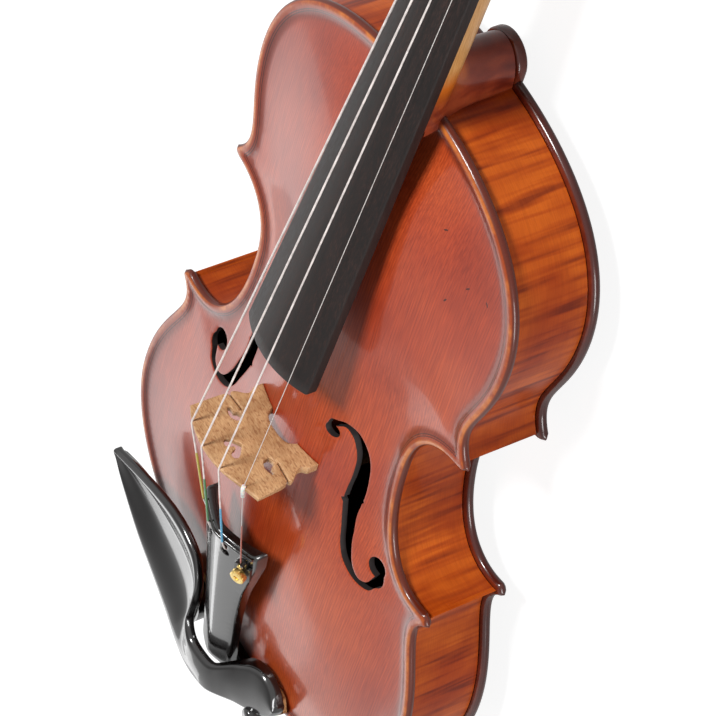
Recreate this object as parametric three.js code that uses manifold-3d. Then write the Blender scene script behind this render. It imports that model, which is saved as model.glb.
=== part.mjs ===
// A full-size violin with chin rest and one fine tuner, lying on its back.
// Millimetres, +Z up out of the top, +Y from the tail towards the scroll, +X to the treble side.
// The pieces are drawn in the body's own frame: tail edge at y = 0, gluing plane of the top at z = 0.
import * as THREE from 'three';
import { mergeVertices } from 'three/addons/utils/BufferGeometryUtils.js';
import Module from 'manifold-3d';

const wasm = await Module();
wasm.setup();

// Clearances
const seatGap = 0.3;
const overrun = 20;

// Body outline
const bodyLength = 356;
const lowerWidth = 205.4;
const waistWidth = 109.4;
const upperWidth = 166;
const lowerCornerWidth = 186;
const lowerCornerFlatWidth = 180;
const upperCornerWidth = 165.2;
const upperCornerFlatWidth = 158;
const lowerBoutShare = 0.2157;
const lowerCornerShare = 0.4157;
const lowerCornerFlatShare = 0.4264;
const waistShare = 0.5733;
const upperCornerFlatShare = 0.6573;
const upperCornerShare = 0.6635;
const upperBoutShare = 0.8183;
const handleShares = {
  tail: 0.56, lowerRise: 0.56, lowerFall: 0.572, lowerCorner: 0.287,
  waistLower: 0.485, waistLowerRise: 0.665, waistUpperRise: 0.7, waistUpper: 0.423,
  upperCorner: 0.394, upperRise: 0.545, upperFall: 0.586, crown: 0.654,
};
const lowerCornerAngle = 38.3;
const lowerFlatAngle = 199.3;
const upperFlatAngle = 5.3;
const upperCornerAngle = 133.2;
const outlineSteps = { tail: 9, lower: 6, waistLower: 6, waistUpper: 4, upper: 5, crown: 7 };

// Plates
const edgeThickness = 4;
const edgeRound = 1.2;
const edgeOverhang = 2.7;
const crestInset = 1.8;
const channelInset = 6.5;
const channelDip = 0.9;
const glueWidth = 7.4;
const topArch = 15.5;
const backArch = 15;
const archEndFall = 3.6;
const topThickness = 2.8;
const backThickness = 3.4;
const spineStartShare = 0.174;
const spineEndShare = 0.843;
const archPowerShare = 0.85;
const outerArchShares = [0.14, 0.3, 0.48, 0.68, 0.86];
const innerArchShares = [0.22, 0.5, 0.78];
const spineShares = {
  tail: 0, lower: 0.26, lowerCorner: 0.42, lowerFlat: 0.44, waist: 0.575,
  upperFlat: 0.655, upperCorner: 0.67, upper: 0.82, crown: 1,
};

// Ribs, linings and blocks
const ribDepthTail = 31.5;
const ribDepthNeck = 30;
const ribThickness = 1.2;
const liningThickness = 2;
const liningDepth = 7.5;
const cornerBlockLength = 24;
const cornerBlockDepth = 4;
const bottomBlockWidth = 48;
const bottomBlockDepth = 15;
const topBlockWidth = 56;
const topBlockDepth = 17;

// Sound holes
const upperEyeRadius = 3.3;
const lowerEyeRadius = 4.6;

// Bass bar and sound post
const barLength = 270;
const barWidth = 5.5;
const barDepth = 11;
const barEndDepth = 3.5;
const barLowerOffset = 18.5;
const barUpperOffset = 11.5;
const soundPostRadius = 3.1;
const soundPostOffset = 19.5;
const soundPostSetback = 6;

// Neck
const neckStop = 130;
const mortiseDepth = 6;
const neckOverstand = 6.4;
const neckFall = 14.65;
const neckDepthNut = 12;
const neckDepthBody = 13.4;
const neckSide = 1.6;
const neckWidthNut = 23.6;
const neckWidthBody = 32;
const heelDepthWidth = 21;
const buttonReach = 13;
const buttonThickness = 4.4;

// Fingerboard and nut
const boardLength = 266;
const boardWidthNut = 24;
const boardWidthEnd = 42;
const boardRadius = 42;
const boardEdge = 4.6;
const boardHollow = 3;
const nutLength = 5.5;
const nutRise = 1.1;

// Head
const headLength = 106;
const cheekRise = 2.6;
const cheekFall = 9;
const scrollSteps = 20;
const pegboxWall = 3.9;
const pegboxFloor = 6;
const headChamfer = 1;
const headFlute = 1.1;
const scrollDrop = 20;
const scrollRadius = 22;
const scrollEyeRadius = 4.3;
const scrollEyeWidth = 42;
const scrollStartWidth = 16;
const scrollTurnShare = 0.65;
const scrollTurns = 2.5;
const scrollInnerShare = 0.5;
const scrollWidthPowerShare = 1.6;

// Strings, in the order G, D, A, E
const stringNames = ['g', 'd', 'a', 'e'];
const stringRadii = [0.42, 0.4, 0.36, 0.15];
const bridgeStringOffsets = [-17.7, -6.2, 5.6, 17.1];
const tailStringOffsets = [-15.4, -5.4, 5.6];
const boardEndClearances = [5.4, 4.6, 3.9, 3.1];
const nutStringOffsets = [-8.2, -2.75, 2.75, 8.2];
const windingTurns = 3;
const windingPitch = 1.3;
const windingSteps = 18;
const windingSides = 5;

// Pegs, in the order G, D, A, E
const pegStationShares = [0.151, 0.4057, 0.533, 0.2783];
const pegSides = [-1, -1, 1, 1];
const pegRadius = 3.5;
const pegTipRadius = 2.9;
const pegCollarRadius = 5.2;
const pegCollarWidth = 3;
const pegHeadGap = 10;
const pegThumbLength = 17;
const pegThumbWidth = 21;
const pegThumbThickness = 6.5;
const pegDropShare = 0.42;
const windingStarts = [-1.2, -0.3, 0.5, 1];
const pegOvershoot = 1;
const thumbShares = [
  [0, 0.3, 0.8], [0.2, 0.62, 0.75], [0.45, 0.95, 0.8], [0.7, 1, 1], [0.9, 0.75, 0.8], [1, 0.3, 0.4],
];
const windingLift = 0.35;

// Bridge
const bridgeStationShare = 0.4576;
const bridgeFeetWidth = 41.5;
const bridgeFootThickness = 4.5;
const bridgeTopThickness = 1.4;
const bridgeTopWidth = 48.6;
const bridgeShoulderDrops = [2.9, 2.5];
const sleeveRadius = 0.85;
const sleeveLength = 6;
const sleeveNose = 1.6;

// Tailpiece, tailgut, end button and saddle
const tailpieceSetIn = 5.4;
const tailpieceLength = 103;
const tailpieceHeadWidth = 39;
const tailpieceTailWidth = 21.5;
const tailpieceHeadHeight = 34.2;
const tailpieceTailHeight = 17.5;
const tailpieceThickness = 7.5;
const tailpieceWall = 4;
const tailpieceRidge = 7;
const fretWidth = 1.6;
const fretRise = 1.2;
const keyholeRadius = 1.9;
const keyslotWidth = 1.5;
const tailgutRadius = 1;
const tailgutOffset = 4;
const saddleLength = 35;
const saddleDepth = 7;
const saddleHeight = 9;
const buttonHeadRadius = 7.2;
const buttonHeadLength = 8.5;
const buttonGrooveRadius = 4.2;
const buttonPinRadius = 3.6;
const buttonPinLength = 22;

// Chin rest
const chinLength = 130;
const chinReach = 88;
const chinDepth = 61;
const chinSetback = 6.2;
const chinRimHeight = 20.4;
const chinBridgeRise = 3.8;
const chinThickness = 4.4;
const chinDish = 5.6;
const corkThickness = 1.8;
const chinRound = 1.4;
const chinBassFootWidth = 26;
const chinTrebleFootWidth = 24;
const chinTrebleFootInset = 13;
const footDepth = 22;
const lugRadius = 3.6;
const chinPostOffset = 31;
const chinPostSetback = 1.4;
const postRadius = 1.45;
const postBury = 5;
const barrelRadius = 2.8;
const barrelLength = 22;
const barrelDrop = 3;
const barrelGap = 5;
const clampFootThickness = 2;
const clampFootReach = 11;
const clampPadThickness = 1.6;
const clampFootShares = [
  [-1, -0.35], [1, -0.35], [1, 0.45], [0.85, 1.1], [0.5, 0.75], [-0.5, 0.75], [-0.85, 1.1], [-1, 0.45],
];
const clampPadShares = [
  [-0.95, 0.35], [-0.5, 0.3], [0.5, 0.3], [0.95, 0.35],
  [0.83, 1.05], [0.5, 0.7], [-0.5, 0.7], [-0.83, 1.05],
];

// Fine tuner, in its own frame on the tailpiece: across, along towards the bridge, and up
const tunerSetback = 11;
const tunerOffset = 15;
const tunerScrewSetback = 2.2;
const tunerScrewRadius = 0.9;
const tunerBlockWidth = 7.6;
const tunerBlockLength = 9;
const tunerBlockHeight = 1.5;
const tunerWindowWidth = 4.8;
const tunerWindowSetback = 5.2;
const tunerWindowReach = 8.4;
const tunerEarOffset = 1.1;
const tunerPivotForward = 4.5;
const tunerPivotDrop = 4.5;
const tunerPivotRadius = 0.6;
const tunerEarWidth = 0.7;
const tunerEarLength = 2.6;
const leverWidth = 1.6;
const hookSetForward = 1.5;
const leverDepth = 2;
const hookRise = 4.4;
const hookWidth = 3.4;
const hookLength = 1.4;
const hookSlot = 1;
const knobRadius = 3.3;
const knobHeight = 3;
const knobTeeth = 18;
const knobToothDepth = 0.3;
const ballRadius = 1.2;
const ballForward = 4.5;
const ballRise = 3.2;
const leverSwing = 0.72;
const tunerScrewTravel = 0.75;

// Finishes
const finish = {
  top: new THREE.MeshStandardMaterial({ color: 0x8a3b22, roughness: 0.25 }),
  back: new THREE.MeshStandardMaterial({ color: 0x7a2e16, roughness: 0.25 }),
  ribs: new THREE.MeshStandardMaterial({ color: 0xb4591f, roughness: 0.3 }),
  neck: new THREE.MeshStandardMaterial({ color: 0xb87333, roughness: 0.4 }),
  bareWood: new THREE.MeshStandardMaterial({ color: 0xd9b98a, roughness: 0.7 }),
  ebony: new THREE.MeshStandardMaterial({ color: 0x1b1a1b, roughness: 0.35 }),
  maple: new THREE.MeshStandardMaterial({ color: 0xcfa46b, roughness: 0.6 }),
  steel: new THREE.MeshStandardMaterial({ color: 0xc9c9cc, roughness: 0.3, metalness: 1 }),
  gilt: new THREE.MeshStandardMaterial({ color: 0xd9a93a, roughness: 0.25, metalness: 1 }),
  black: new THREE.MeshStandardMaterial({ color: 0x141414, roughness: 0.3, metalness: 0.5 }),
  cork: new THREE.MeshStandardMaterial({ color: 0xb98a55, roughness: 0.9 }),
  cord: new THREE.MeshStandardMaterial({ color: 0x202022, roughness: 0.5 }),
  sleeve: new THREE.MeshStandardMaterial({ color: 0xf0eee8, roughness: 0.5 }),
};

const violin = new THREE.Group();
const solids = {};

// Geometry helpers

const at = (x, y, z) => new THREE.Vector3(x, y, z);
const flat = (x, y) => new THREE.Vector2(x, y);
const mix = THREE.MathUtils.lerp;

// Reads a table of [share, value] pairs, straight between its rows.
function follow(table, share) {
  const last = table.length - 1;
  if (share <= table[0][0]) return table[0][1];
  if (share >= table[last][0]) return table[last][1];
  const row = table.findIndex((entry) => entry[0] >= share);
  const [s0, v0] = table[row - 1];
  const [s1, v1] = table[row];
  return mix(v0, v1, (share - s0) / (s1 - s0));
}

function solidOf(geometry) {
  const bare = geometry.clone();
  bare.deleteAttribute('normal');
  bare.deleteAttribute('uv');
  const merged = mergeVertices(bare, 1e-4);
  const place = merged.attributes.position.array;
  const corners = [];
  for (let i = 0; i < merged.index.count; i += 3) {
    const [a, b, c] = [0, 1, 2].map((k) => merged.index.getX(i + k));
    if (a !== b && b !== c && c !== a) corners.push(a, b, c);
  }
  return new wasm.Manifold(new wasm.Mesh({
    numProp: 3,
    vertProperties: new Float32Array(place),
    triVerts: new Uint32Array(corners),
  }));
}

function geometryOf(solid) {
  const mesh = solid.getMesh();
  const geometry = new THREE.BufferGeometry();
  geometry.setAttribute('position', new THREE.BufferAttribute(new Float32Array(mesh.vertProperties), 3));
  geometry.setIndex(new THREE.BufferAttribute(new Uint32Array(mesh.triVerts), 1));
  return geometry;
}

// Triangles over a flat ring of points, in the ring's own order.
function capCorners(ring) {
  const normal = at(0, 0, 0);
  ring.forEach((p, i) => normal.add(p.clone().cross(ring[(i + 1) % ring.length])));
  normal.normalize();
  const aside = Math.abs(normal.x) < Math.abs(normal.y) ? at(1, 0, 0) : at(0, 1, 0);
  const u = aside.cross(normal).normalize();
  const v = normal.clone().cross(u);
  return THREE.ShapeUtils.triangulateShape(ring.map((p) => flat(p.dot(u), p.dot(v))), []);
}

// Joins closed rings of points into one skin, with a flat cap over each open end.
function skin(rings, capped = true) {
  const size = rings[0].length;
  const places = [];
  const corners = [];
  for (const ring of rings) for (const p of ring) places.push(p.x, p.y, p.z);
  for (let r = 0; r + 1 < rings.length; r += 1) {
    for (let i = 0; i < size; i += 1) {
      const a = r * size + i;
      const b = r * size + ((i + 1) % size);
      corners.push(a, b, b + size, a, b + size, a + size);
    }
  }
  if (capped) {
    const start = (rings.length - 1) * size;
    for (const [a, b, c] of capCorners(rings[0])) corners.push(c, b, a);
    for (const corner of capCorners(rings[rings.length - 1])) {
      corners.push(...corner.map((k) => start + k));
    }
  }
  const geometry = new THREE.BufferGeometry();
  geometry.setAttribute('position', new THREE.Float32BufferAttribute(places, 3));
  geometry.setIndex(corners);
  return facingOut(geometry);
}

// Turns a closed skin right side out, by the sign of its volume.
function facingOut(geometry) {
  const place = geometry.attributes.position;
  const index = geometry.index;
  const [a, b, c] = [at(0, 0, 0), at(0, 0, 0), at(0, 0, 0)];
  let volume = 0;
  for (let i = 0; i < index.count; i += 3) {
    a.fromBufferAttribute(place, index.getX(i));
    b.fromBufferAttribute(place, index.getX(i + 1));
    c.fromBufferAttribute(place, index.getX(i + 2));
    volume += a.dot(b.cross(c));
  }
  if (volume < 0) {
    for (let i = 0; i < index.count; i += 3) {
      const kept = index.getX(i);
      index.setX(i, index.getX(i + 2));
      index.setX(i + 2, kept);
    }
  }
  return geometry;
}

// An upright prism on a plan outline, whose top and bottom may slope.
function prism(outline, topAt, bottomAt) {
  const count = outline.length;
  const places = [];
  for (const p of outline) places.push(p.x, p.y, topAt(p.x, p.y));
  for (const p of outline) places.push(p.x, p.y, bottomAt(p.x, p.y));
  const corners = [];
  for (const [a, b, c] of THREE.ShapeUtils.triangulateShape(outline, [])) {
    corners.push(a, b, c, c + count, b + count, a + count);
  }
  const turn = THREE.ShapeUtils.isClockWise(outline) ? -1 : 1;
  for (let i = 0; i < count; i += 1) {
    const j = (i + 1) % count;
    if (turn > 0) corners.push(i, i + count, j, j, i + count, j + count);
    else corners.push(i, j, i + count, j, j + count, i + count);
  }
  const geometry = new THREE.BufferGeometry();
  geometry.setAttribute('position', new THREE.Float32BufferAttribute(places, 3));
  geometry.setIndex(corners);
  return geometry;
}

function boxBetween(low, high) {
  const geometry = new THREE.BoxGeometry(high.x - low.x, high.y - low.y, high.z - low.z);
  return geometry.translate((low.x + high.x) / 2, (low.y + high.y) / 2, (low.z + high.z) / 2);
}

// A turned piece: a profile of [radius, height] rows, closed on its axis, standing on +Z.
function turned(profile, segments) {
  const points = profile.map(([radius, height]) => flat(radius, height));
  return new THREE.LatheGeometry(points, segments).rotateX(Math.PI / 2);
}

function add(name, shape, material) {
  const geometry = shape.isBufferGeometry ? shape : geometryOf(shape);
  const mesh = new THREE.Mesh(geometry, material);
  mesh.name = name;
  violin.add(mesh);
  solids[name] = shape.isBufferGeometry ? solidOf(shape) : shape;
  return mesh;
}

// Plan outline

const halfLower = lowerWidth / 2;
const halfWaist = waistWidth / 2;
const halfUpper = upperWidth / 2;

function heading(degrees, length) {
  const angle = THREE.MathUtils.degToRad(degrees);
  return flat(length * Math.cos(angle), length * Math.sin(angle));
}

function curvePoints(from, handleA, handleB, to, steps) {
  return new THREE.CubicBezierCurve(from, handleA, handleB, to).getPoints(steps);
}

const tailPoint = flat(0, 0);
const crownPoint = flat(0, bodyLength);
const lowerPoint = flat(halfLower, lowerBoutShare * bodyLength);
const lowerCorner = flat(lowerCornerWidth / 2, lowerCornerShare * bodyLength);
const lowerFlat = flat(lowerCornerFlatWidth / 2, lowerCornerFlatShare * bodyLength);
const waistPoint = flat(halfWaist, waistShare * bodyLength);
const upperFlat = flat(upperCornerFlatWidth / 2, upperCornerFlatShare * bodyLength);
const upperCorner = flat(upperCornerWidth / 2, upperCornerShare * bodyLength);
const upperPoint = flat(halfUpper, upperBoutShare * bodyLength);

const lowerFallSpan = lowerCorner.y - lowerPoint.y;
const waistLowerSpan = waistPoint.y - lowerFlat.y;
const waistUpperSpan = upperFlat.y - waistPoint.y;
const upperRiseSpan = upperPoint.y - upperCorner.y;
const crownSpan = bodyLength - upperPoint.y;

const lowerBout = [
  ...curvePoints(
    tailPoint,
    flat(handleShares.tail * halfLower, 0),
    flat(halfLower, lowerPoint.y * (1 - handleShares.lowerRise)),
    lowerPoint,
    outlineSteps.tail,
  ),
  ...curvePoints(
    lowerPoint,
    flat(halfLower, lowerPoint.y + handleShares.lowerFall * lowerFallSpan),
    lowerCorner.clone().sub(heading(lowerCornerAngle, handleShares.lowerCorner * lowerFallSpan)),
    lowerCorner,
    outlineSteps.lower,
  ).slice(1),
];
const waist = [
  ...curvePoints(
    lowerFlat,
    lowerFlat.clone().add(heading(lowerFlatAngle, handleShares.waistLower * waistLowerSpan)),
    flat(halfWaist, waistPoint.y - handleShares.waistLowerRise * waistLowerSpan),
    waistPoint,
    outlineSteps.waistLower,
  ),
  ...curvePoints(
    waistPoint,
    flat(halfWaist, waistPoint.y + handleShares.waistUpperRise * waistUpperSpan),
    upperFlat.clone().sub(heading(upperFlatAngle, handleShares.waistUpper * waistUpperSpan)),
    upperFlat,
    outlineSteps.waistUpper,
  ).slice(1),
];
const upperBout = [
  ...curvePoints(
    upperCorner,
    upperCorner.clone().add(heading(upperCornerAngle, handleShares.upperCorner * upperRiseSpan)),
    flat(halfUpper, upperPoint.y - handleShares.upperRise * upperRiseSpan),
    upperPoint,
    outlineSteps.upper,
  ),
  ...curvePoints(
    upperPoint,
    flat(halfUpper, upperPoint.y + handleShares.upperFall * crownSpan),
    flat(handleShares.crown * halfUpper, bodyLength),
    crownPoint,
    outlineSteps.crown,
  ).slice(1),
];

// Share of the way along the spine that faces each outline point.
function spineRun(from, to, steps) {
  return Array.from({ length: steps + 1 }, (_, i) => mix(from, to, i / steps));
}
const trebleSpine = [
  ...spineRun(spineShares.tail, spineShares.lower, outlineSteps.tail),
  ...spineRun(spineShares.lower, spineShares.lowerCorner, outlineSteps.lower).slice(1),
  ...spineRun(spineShares.lowerFlat, spineShares.waist, outlineSteps.waistLower),
  ...spineRun(spineShares.waist, spineShares.upperFlat, outlineSteps.waistUpper).slice(1),
  ...spineRun(spineShares.upperCorner, spineShares.upper, outlineSteps.upper),
  ...spineRun(spineShares.upper, spineShares.crown, outlineSteps.crown).slice(1),
];
const treble = [...lowerBout, ...waist, ...upperBout];
const outline = treble.map((p, i) => ({ edge: p, share: trebleSpine[i] }));
for (let i = treble.length - 2; i > 0; i -= 1) {
  outline.push({ edge: flat(-treble[i].x, treble[i].y), share: trebleSpine[i] });
}

// Plan polylines: parallel, cut and mirrored

const mirrored = (points) => points.map((p) => flat(-p.x, p.y)).reverse();

function parallel(points, inset) {
  return points.map((p, i) => {
    const before = points[Math.max(i - 1, 0)];
    const after = points[Math.min(i + 1, points.length - 1)];
    const run = after.clone().sub(before).normalize();
    if (i === 0 && p.x === 0) run.set(1, 0);
    if (i === points.length - 1 && p.x === 0) run.set(-1, 0);
    return flat(p.x - run.y * inset, p.y + run.x * inset);
  });
}

function crossing(a, b, c, d) {
  const r = b.clone().sub(a);
  const s = d.clone().sub(c);
  const area = r.cross(s);
  if (area === 0) return null;
  const t = c.clone().sub(a).cross(s) / area;
  const u = c.clone().sub(a).cross(r) / area;
  return t >= 0 && t <= 1 && u >= 0 && u <= 1 ? a.clone().add(r.multiplyScalar(t)) : null;
}

// The first points of one polyline, up to where it first meets another.
function upTo(points, fence) {
  for (let i = 0; i + 1 < points.length; i += 1) {
    for (let j = 0; j + 1 < fence.length; j += 1) {
      const meet = crossing(points[i], points[i + 1], fence[j], fence[j + 1]);
      if (meet) return [...points.slice(0, i + 1), meet];
    }
  }
  return points;
}
const fromLast = (points, fence) => upTo([...points].reverse(), fence).reverse();

// The stretch of a polyline between two lengths measured along it.
function stretch(points, from, to) {
  const kept = [];
  let run = 0;
  for (let i = 0; i + 1 < points.length; i += 1) {
    const step = points[i].distanceTo(points[i + 1]);
    for (const mark of [from, to]) {
      if (mark >= run && mark < run + step) {
        kept.push({ mark, p: points[i].clone().lerp(points[i + 1], (mark - run) / step) });
      }
    }
    run += step;
    if (run > from && run < to) kept.push({ mark: run, p: points[i + 1] });
  }
  return kept.sort((a, b) => a.mark - b.mark).map((entry) => entry.p);
}
const lengthOf = (points) => points.slice(1).reduce((sum, p, i) => sum + p.distanceTo(points[i]), 0);

// Heights shared by the garland and the plates

const ribDepth = (y) => mix(ribDepthTail, ribDepthNeck, y / bodyLength);
const backPlane = (x, y) => -ribDepth(y);
const underTop = () => -seatGap;
const overBack = (x, y) => backPlane(x, y) + seatGap;

// Plates

function archHeight(inset, reach, crown) {
  const share = THREE.MathUtils.clamp((inset - channelInset) / (reach - channelInset), 0, 1);
  const rise = (1 - Math.cos(Math.PI * share ** archPowerShare)) / 2;
  return mix(edgeThickness - channelDip, crown, rise);
}

// Rings round the outline at a given inset from the edge, for a plate or for the chamber under it.
function plateRings(crown, thickness, placeAt) {
  const spineStart = spineStartShare * bodyLength;
  const spineEnd = spineEndShare * bodyLength;
  const ring = (heightAt) => outline.map(({ edge, share }) => {
    const hub = flat(0, mix(spineStart, spineEnd, share));
    const reach = hub.distanceTo(edge);
    const crownHere = crown - archEndFall * (2 * share - 1) ** 2;
    const { inset, height } = heightAt(reach, crownHere);
    const p = edge.clone().lerp(hub, inset / reach);
    return placeAt(p.x, p.y, height);
  });
  const overArch = (share) => ring((reach, crownHere) => {
    const inset = mix(channelInset, reach, share);
    return { inset, height: archHeight(inset, reach, crownHere) };
  });
  const underArch = (share, drop = 0) => ring((reach, crownHere) => {
    const inset = mix(glueWidth, reach, share);
    const hollow = (archHeight(inset, reach, crownHere) - thickness) * Math.min(1, 3 * share);
    return { inset, height: hollow - drop };
  });
  const rim = (inset, height) => ring(() => ({ inset, height }));
  const hub = (height) => ring((reach) => ({ inset: reach, height }));
  return { overArch, underArch, rim, hub };
}

// From the spine out over the arch, round the edge and back under to the spine.
function plateSkin(crown, thickness, placeAt) {
  const { overArch, underArch, rim } = plateRings(crown, thickness, placeAt);
  return skin([
    overArch(1),
    ...[...outerArchShares].reverse().map(overArch),
    rim(channelInset, edgeThickness - channelDip),
    rim(crestInset, edgeThickness),
    rim(0, edgeThickness - edgeRound),
    rim(0, edgeRound),
    rim(edgeRound / 2, 0),
    rim(glueWidth, 0),
    ...innerArchShares.map((share) => underArch(share)),
    underArch(1),
  ], false);
}

// The air under a plate's arch, a clearance short of the wood, down past the other plate.
function chamberSkin(crown, thickness, placeAt) {
  const { underArch, rim, hub } = plateRings(crown, thickness, placeAt);
  const depth = ribDepthTail + backArch + overrun;
  return skin([
    underArch(1, seatGap),
    ...[...innerArchShares].reverse().map((share) => underArch(share, seatGap)),
    rim(glueWidth, -seatGap),
    rim(glueWidth, -depth),
    hub(-depth),
  ], false);
}

// Sound hole: the outer and inner edges of the stem, drawn on the treble side as [x share, y share]
// of half the lower width and the body length.
const holeOuterShares = [
  [0.178, 0.5343], [0.187, 0.5447],
  [0.213, 0.5493], [0.248, 0.5548], [0.302, 0.5537], [0.352, 0.5404], [0.384, 0.5225], [0.402, 0.4985],
  [0.412, 0.4735], [0.414, 0.4413], [0.428, 0.4205], [0.447, 0.3972], [0.486, 0.3742], [0.529, 0.3668],
  [0.566, 0.3722], [0.585, 0.3872], [0.59, 0.3935],
];
const holeInnerShares = [
  [0.625, 0.4017], [0.635, 0.3921], [0.629, 0.3837],
  [0.612, 0.3775], [0.59, 0.3655], [0.54, 0.3598], [0.492, 0.3612], [0.437, 0.3705], [0.4, 0.3873],
  [0.377, 0.4084], [0.358, 0.427], [0.3405, 0.4468], [0.336, 0.4665], [0.337, 0.4848], [0.3345, 0.502],
  [0.3265, 0.5191], [0.31, 0.5317], [0.2865, 0.5427], [0.252, 0.5483], [0.219, 0.5404],
];
const upperEyeShares = [0.207, 0.5305];
const lowerEyeShares = [0.5805, 0.4035];
const notchShares = [[0.327, 0.4484], [0.347, 0.4545], [0.347, 0.4425]];
const outerNotchShares = [[0.42, 0.4649], [0.4, 0.471], [0.4, 0.459]];

function holeCutter() {
  const placed = (pairs) => pairs.map(([x, y]) => flat(x * halfLower, y * bodyLength));
  const through = (points) => solidOf(prism(points, () => overrun, () => -overrun));
  const eye = ([x, y], radius) => {
    const drill = new THREE.CylinderGeometry(radius, radius, 2 * overrun, 18).rotateX(Math.PI / 2);
    return solidOf(drill.translate(x * halfLower, y * bodyLength, 0));
  };
  const stem = placed([...holeOuterShares, ...holeInnerShares]);
  return through(stem)
    .add(eye(upperEyeShares, upperEyeRadius))
    .add(eye(lowerEyeShares, lowerEyeRadius))
    .add(through(placed(notchShares)))
    .add(through(placed(outerNotchShares)));
}

// Neck plane, on which the fingerboard lies

const nutY = bodyLength + neckStop;
const neckPlane = (y) => edgeThickness + neckOverstand - (neckFall * (y - bodyLength)) / neckStop;

// Heel: level slices from the button up to the neck. A clearance makes the cutter of its mortise.
const heelSliceShares = [
  [0, 0, 0.66], [0.22, 0.04, 0.68], [0.42, 0.14, 0.72], [0.55, 0.3, 0.78],
  [0.65, 0.6, 0.86], [0.72, 1, 0.93], [0.85, 1.4, 0.99], [1, 1.7, 1],
];
const heelFlare = 17;
function heelSkin(clearance) {
  const low = backPlane(0, bodyLength) + seatGap - clearance;
  const high = neckPlane(bodyLength) + mortiseDepth;
  const start = bodyLength - mortiseDepth - clearance;
  return skin(heelSliceShares.map(([rise, flare, spread]) => {
    const halfWidth = (neckWidthBody / 2) * spread + clearance;
    const tip = bodyLength + buttonReach - seatGap + flare * heelFlare + clearance;
    const ring = [];
    for (let i = 0; i <= 12; i += 1) {
      const angle = (Math.PI * i) / 12;
      const bend = Math.sin(angle) ** 0.8;
      ring.push(at(halfWidth * Math.cos(angle), mix(start, tip, bend), mix(low, high, rise)));
    }
    return ring;
  }));
}

const topCutters = holeCutter();
const heelCutter = solidOf(heelSkin(seatGap));
const saddleBed = boxBetween(
  at(-saddleLength / 2 - seatGap, -overrun, -overrun),
  at(saddleLength / 2 + seatGap, saddleDepth + seatGap, overrun),
);
const backPlace = (x, y, z) => at(x, y, backPlane(x, y) - z);
const topPlate = solidOf(plateSkin(topArch, topThickness, at))
  .subtract(topCutters)
  .subtract(topCutters.mirror([1, 0, 0]))
  .subtract(heelCutter)
  .subtract(solidOf(saddleBed));
add('top_plate', topPlate, finish.top);

function buttonOutline() {
  const radius = heelDepthWidth / 2;
  const centre = bodyLength + buttonReach - radius;
  const points = [flat(-radius, bodyLength - buttonReach)];
  points.push(flat(radius, bodyLength - buttonReach));
  for (let i = 0; i <= 10; i += 1) {
    const angle = (Math.PI * i) / 10;
    points.push(flat(radius * Math.cos(angle), centre + radius * Math.sin(angle)));
  }
  return points;
}
const backPlate = solidOf(facingOut(plateSkin(backArch, backThickness, backPlace)))
  .add(solidOf(prism(buttonOutline(), backPlane, (x, y) => backPlane(x, y) - buttonThickness)));
add('back_plate', backPlate, finish.back);

// Garland: ribs, linings and blocks

const outerInset = edgeOverhang;
const innerInset = edgeOverhang + ribThickness;
const liningInset = innerInset + seatGap;
const tightRadius = buttonPinRadius + seatGap;
const buttonHeight = -ribDepthTail / 2;
const pinHole = solidOf(new THREE.CylinderGeometry(tightRadius, tightRadius, 2 * overrun, 16)
  .translate(0, 0, buttonHeight));

const strip = (outer, inner, topAt, bottomAt) => (
  solidOf(prism([...outer, ...[...inner].reverse()], topAt, bottomAt))
);
const fences = {
  waistOuter: parallel(waist, outerInset),
  waistInner: parallel(waist, liningInset),
  lowerInner: parallel(lowerBout, liningInset),
  upperInner: parallel(upperBout, liningInset),
};
const centreGap = (points) => points.map((p) => flat(Math.max(p.x, seatGap / 2), p.y));
const lowerRib = strip(
  centreGap(upTo(parallel(lowerBout, outerInset), fences.waistOuter)),
  centreGap(upTo(parallel(lowerBout, innerInset), fences.waistOuter)),
  underTop,
  overBack,
).subtract(pinHole);
const waistRib = strip(
  fromLast(upTo(fences.waistOuter, fences.upperInner), fences.lowerInner),
  fromLast(upTo(parallel(waist, innerInset), fences.upperInner), fences.lowerInner),
  underTop,
  overBack,
);
const upperRib = strip(
  centreGap(fromLast(parallel(upperBout, outerInset), fences.waistOuter)),
  centreGap(fromLast(parallel(upperBout, innerInset), fences.waistOuter)),
  underTop,
  overBack,
).subtract(heelCutter);

for (const [side, flip] of [['treble', false], ['bass', true]]) {
  const facing = (solid) => (flip ? solid.mirror([1, 0, 0]) : solid);
  add(`lower_rib_${side}`, facing(lowerRib), finish.ribs);
  add(`waist_rib_${side}`, facing(waistRib), finish.ribs);
  add(`upper_rib_${side}`, facing(upperRib), finish.ribs);
}

// Corner blocks fill the angle between two ribs.
const lowerInnerRun = upTo(fences.lowerInner, fences.waistInner);
const waistFromLower = fromLast(fences.waistInner, fences.lowerInner);
const waistToUpper = upTo(fences.waistInner, fences.upperInner);
const upperInnerRun = fromLast(fences.upperInner, fences.waistInner);
const lastStretch = (points, length) => {
  const whole = lengthOf(points);
  return [...stretch(points, whole - length, whole), points[points.length - 1]];
};
const cornerBlockPlan = (before, after) => {
  const arriving = lastStretch(before, cornerBlockLength);
  const leaving = stretch(after, 0, cornerBlockLength);
  return [
    parallel(arriving, cornerBlockDepth)[0], ...arriving, ...leaving.slice(1),
    parallel(leaving, cornerBlockDepth)[leaving.length - 1],
  ];
};
const lowerBlockPlan = cornerBlockPlan(lowerInnerRun, waistFromLower);
const upperBlockPlan = cornerBlockPlan(waistToUpper, upperInnerRun);
const block = (plan) => solidOf(prism(plan, underTop, overBack));
const sideOf = (width) => [flat(width / 2, -overrun), flat(width / 2, bodyLength + overrun)];
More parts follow.
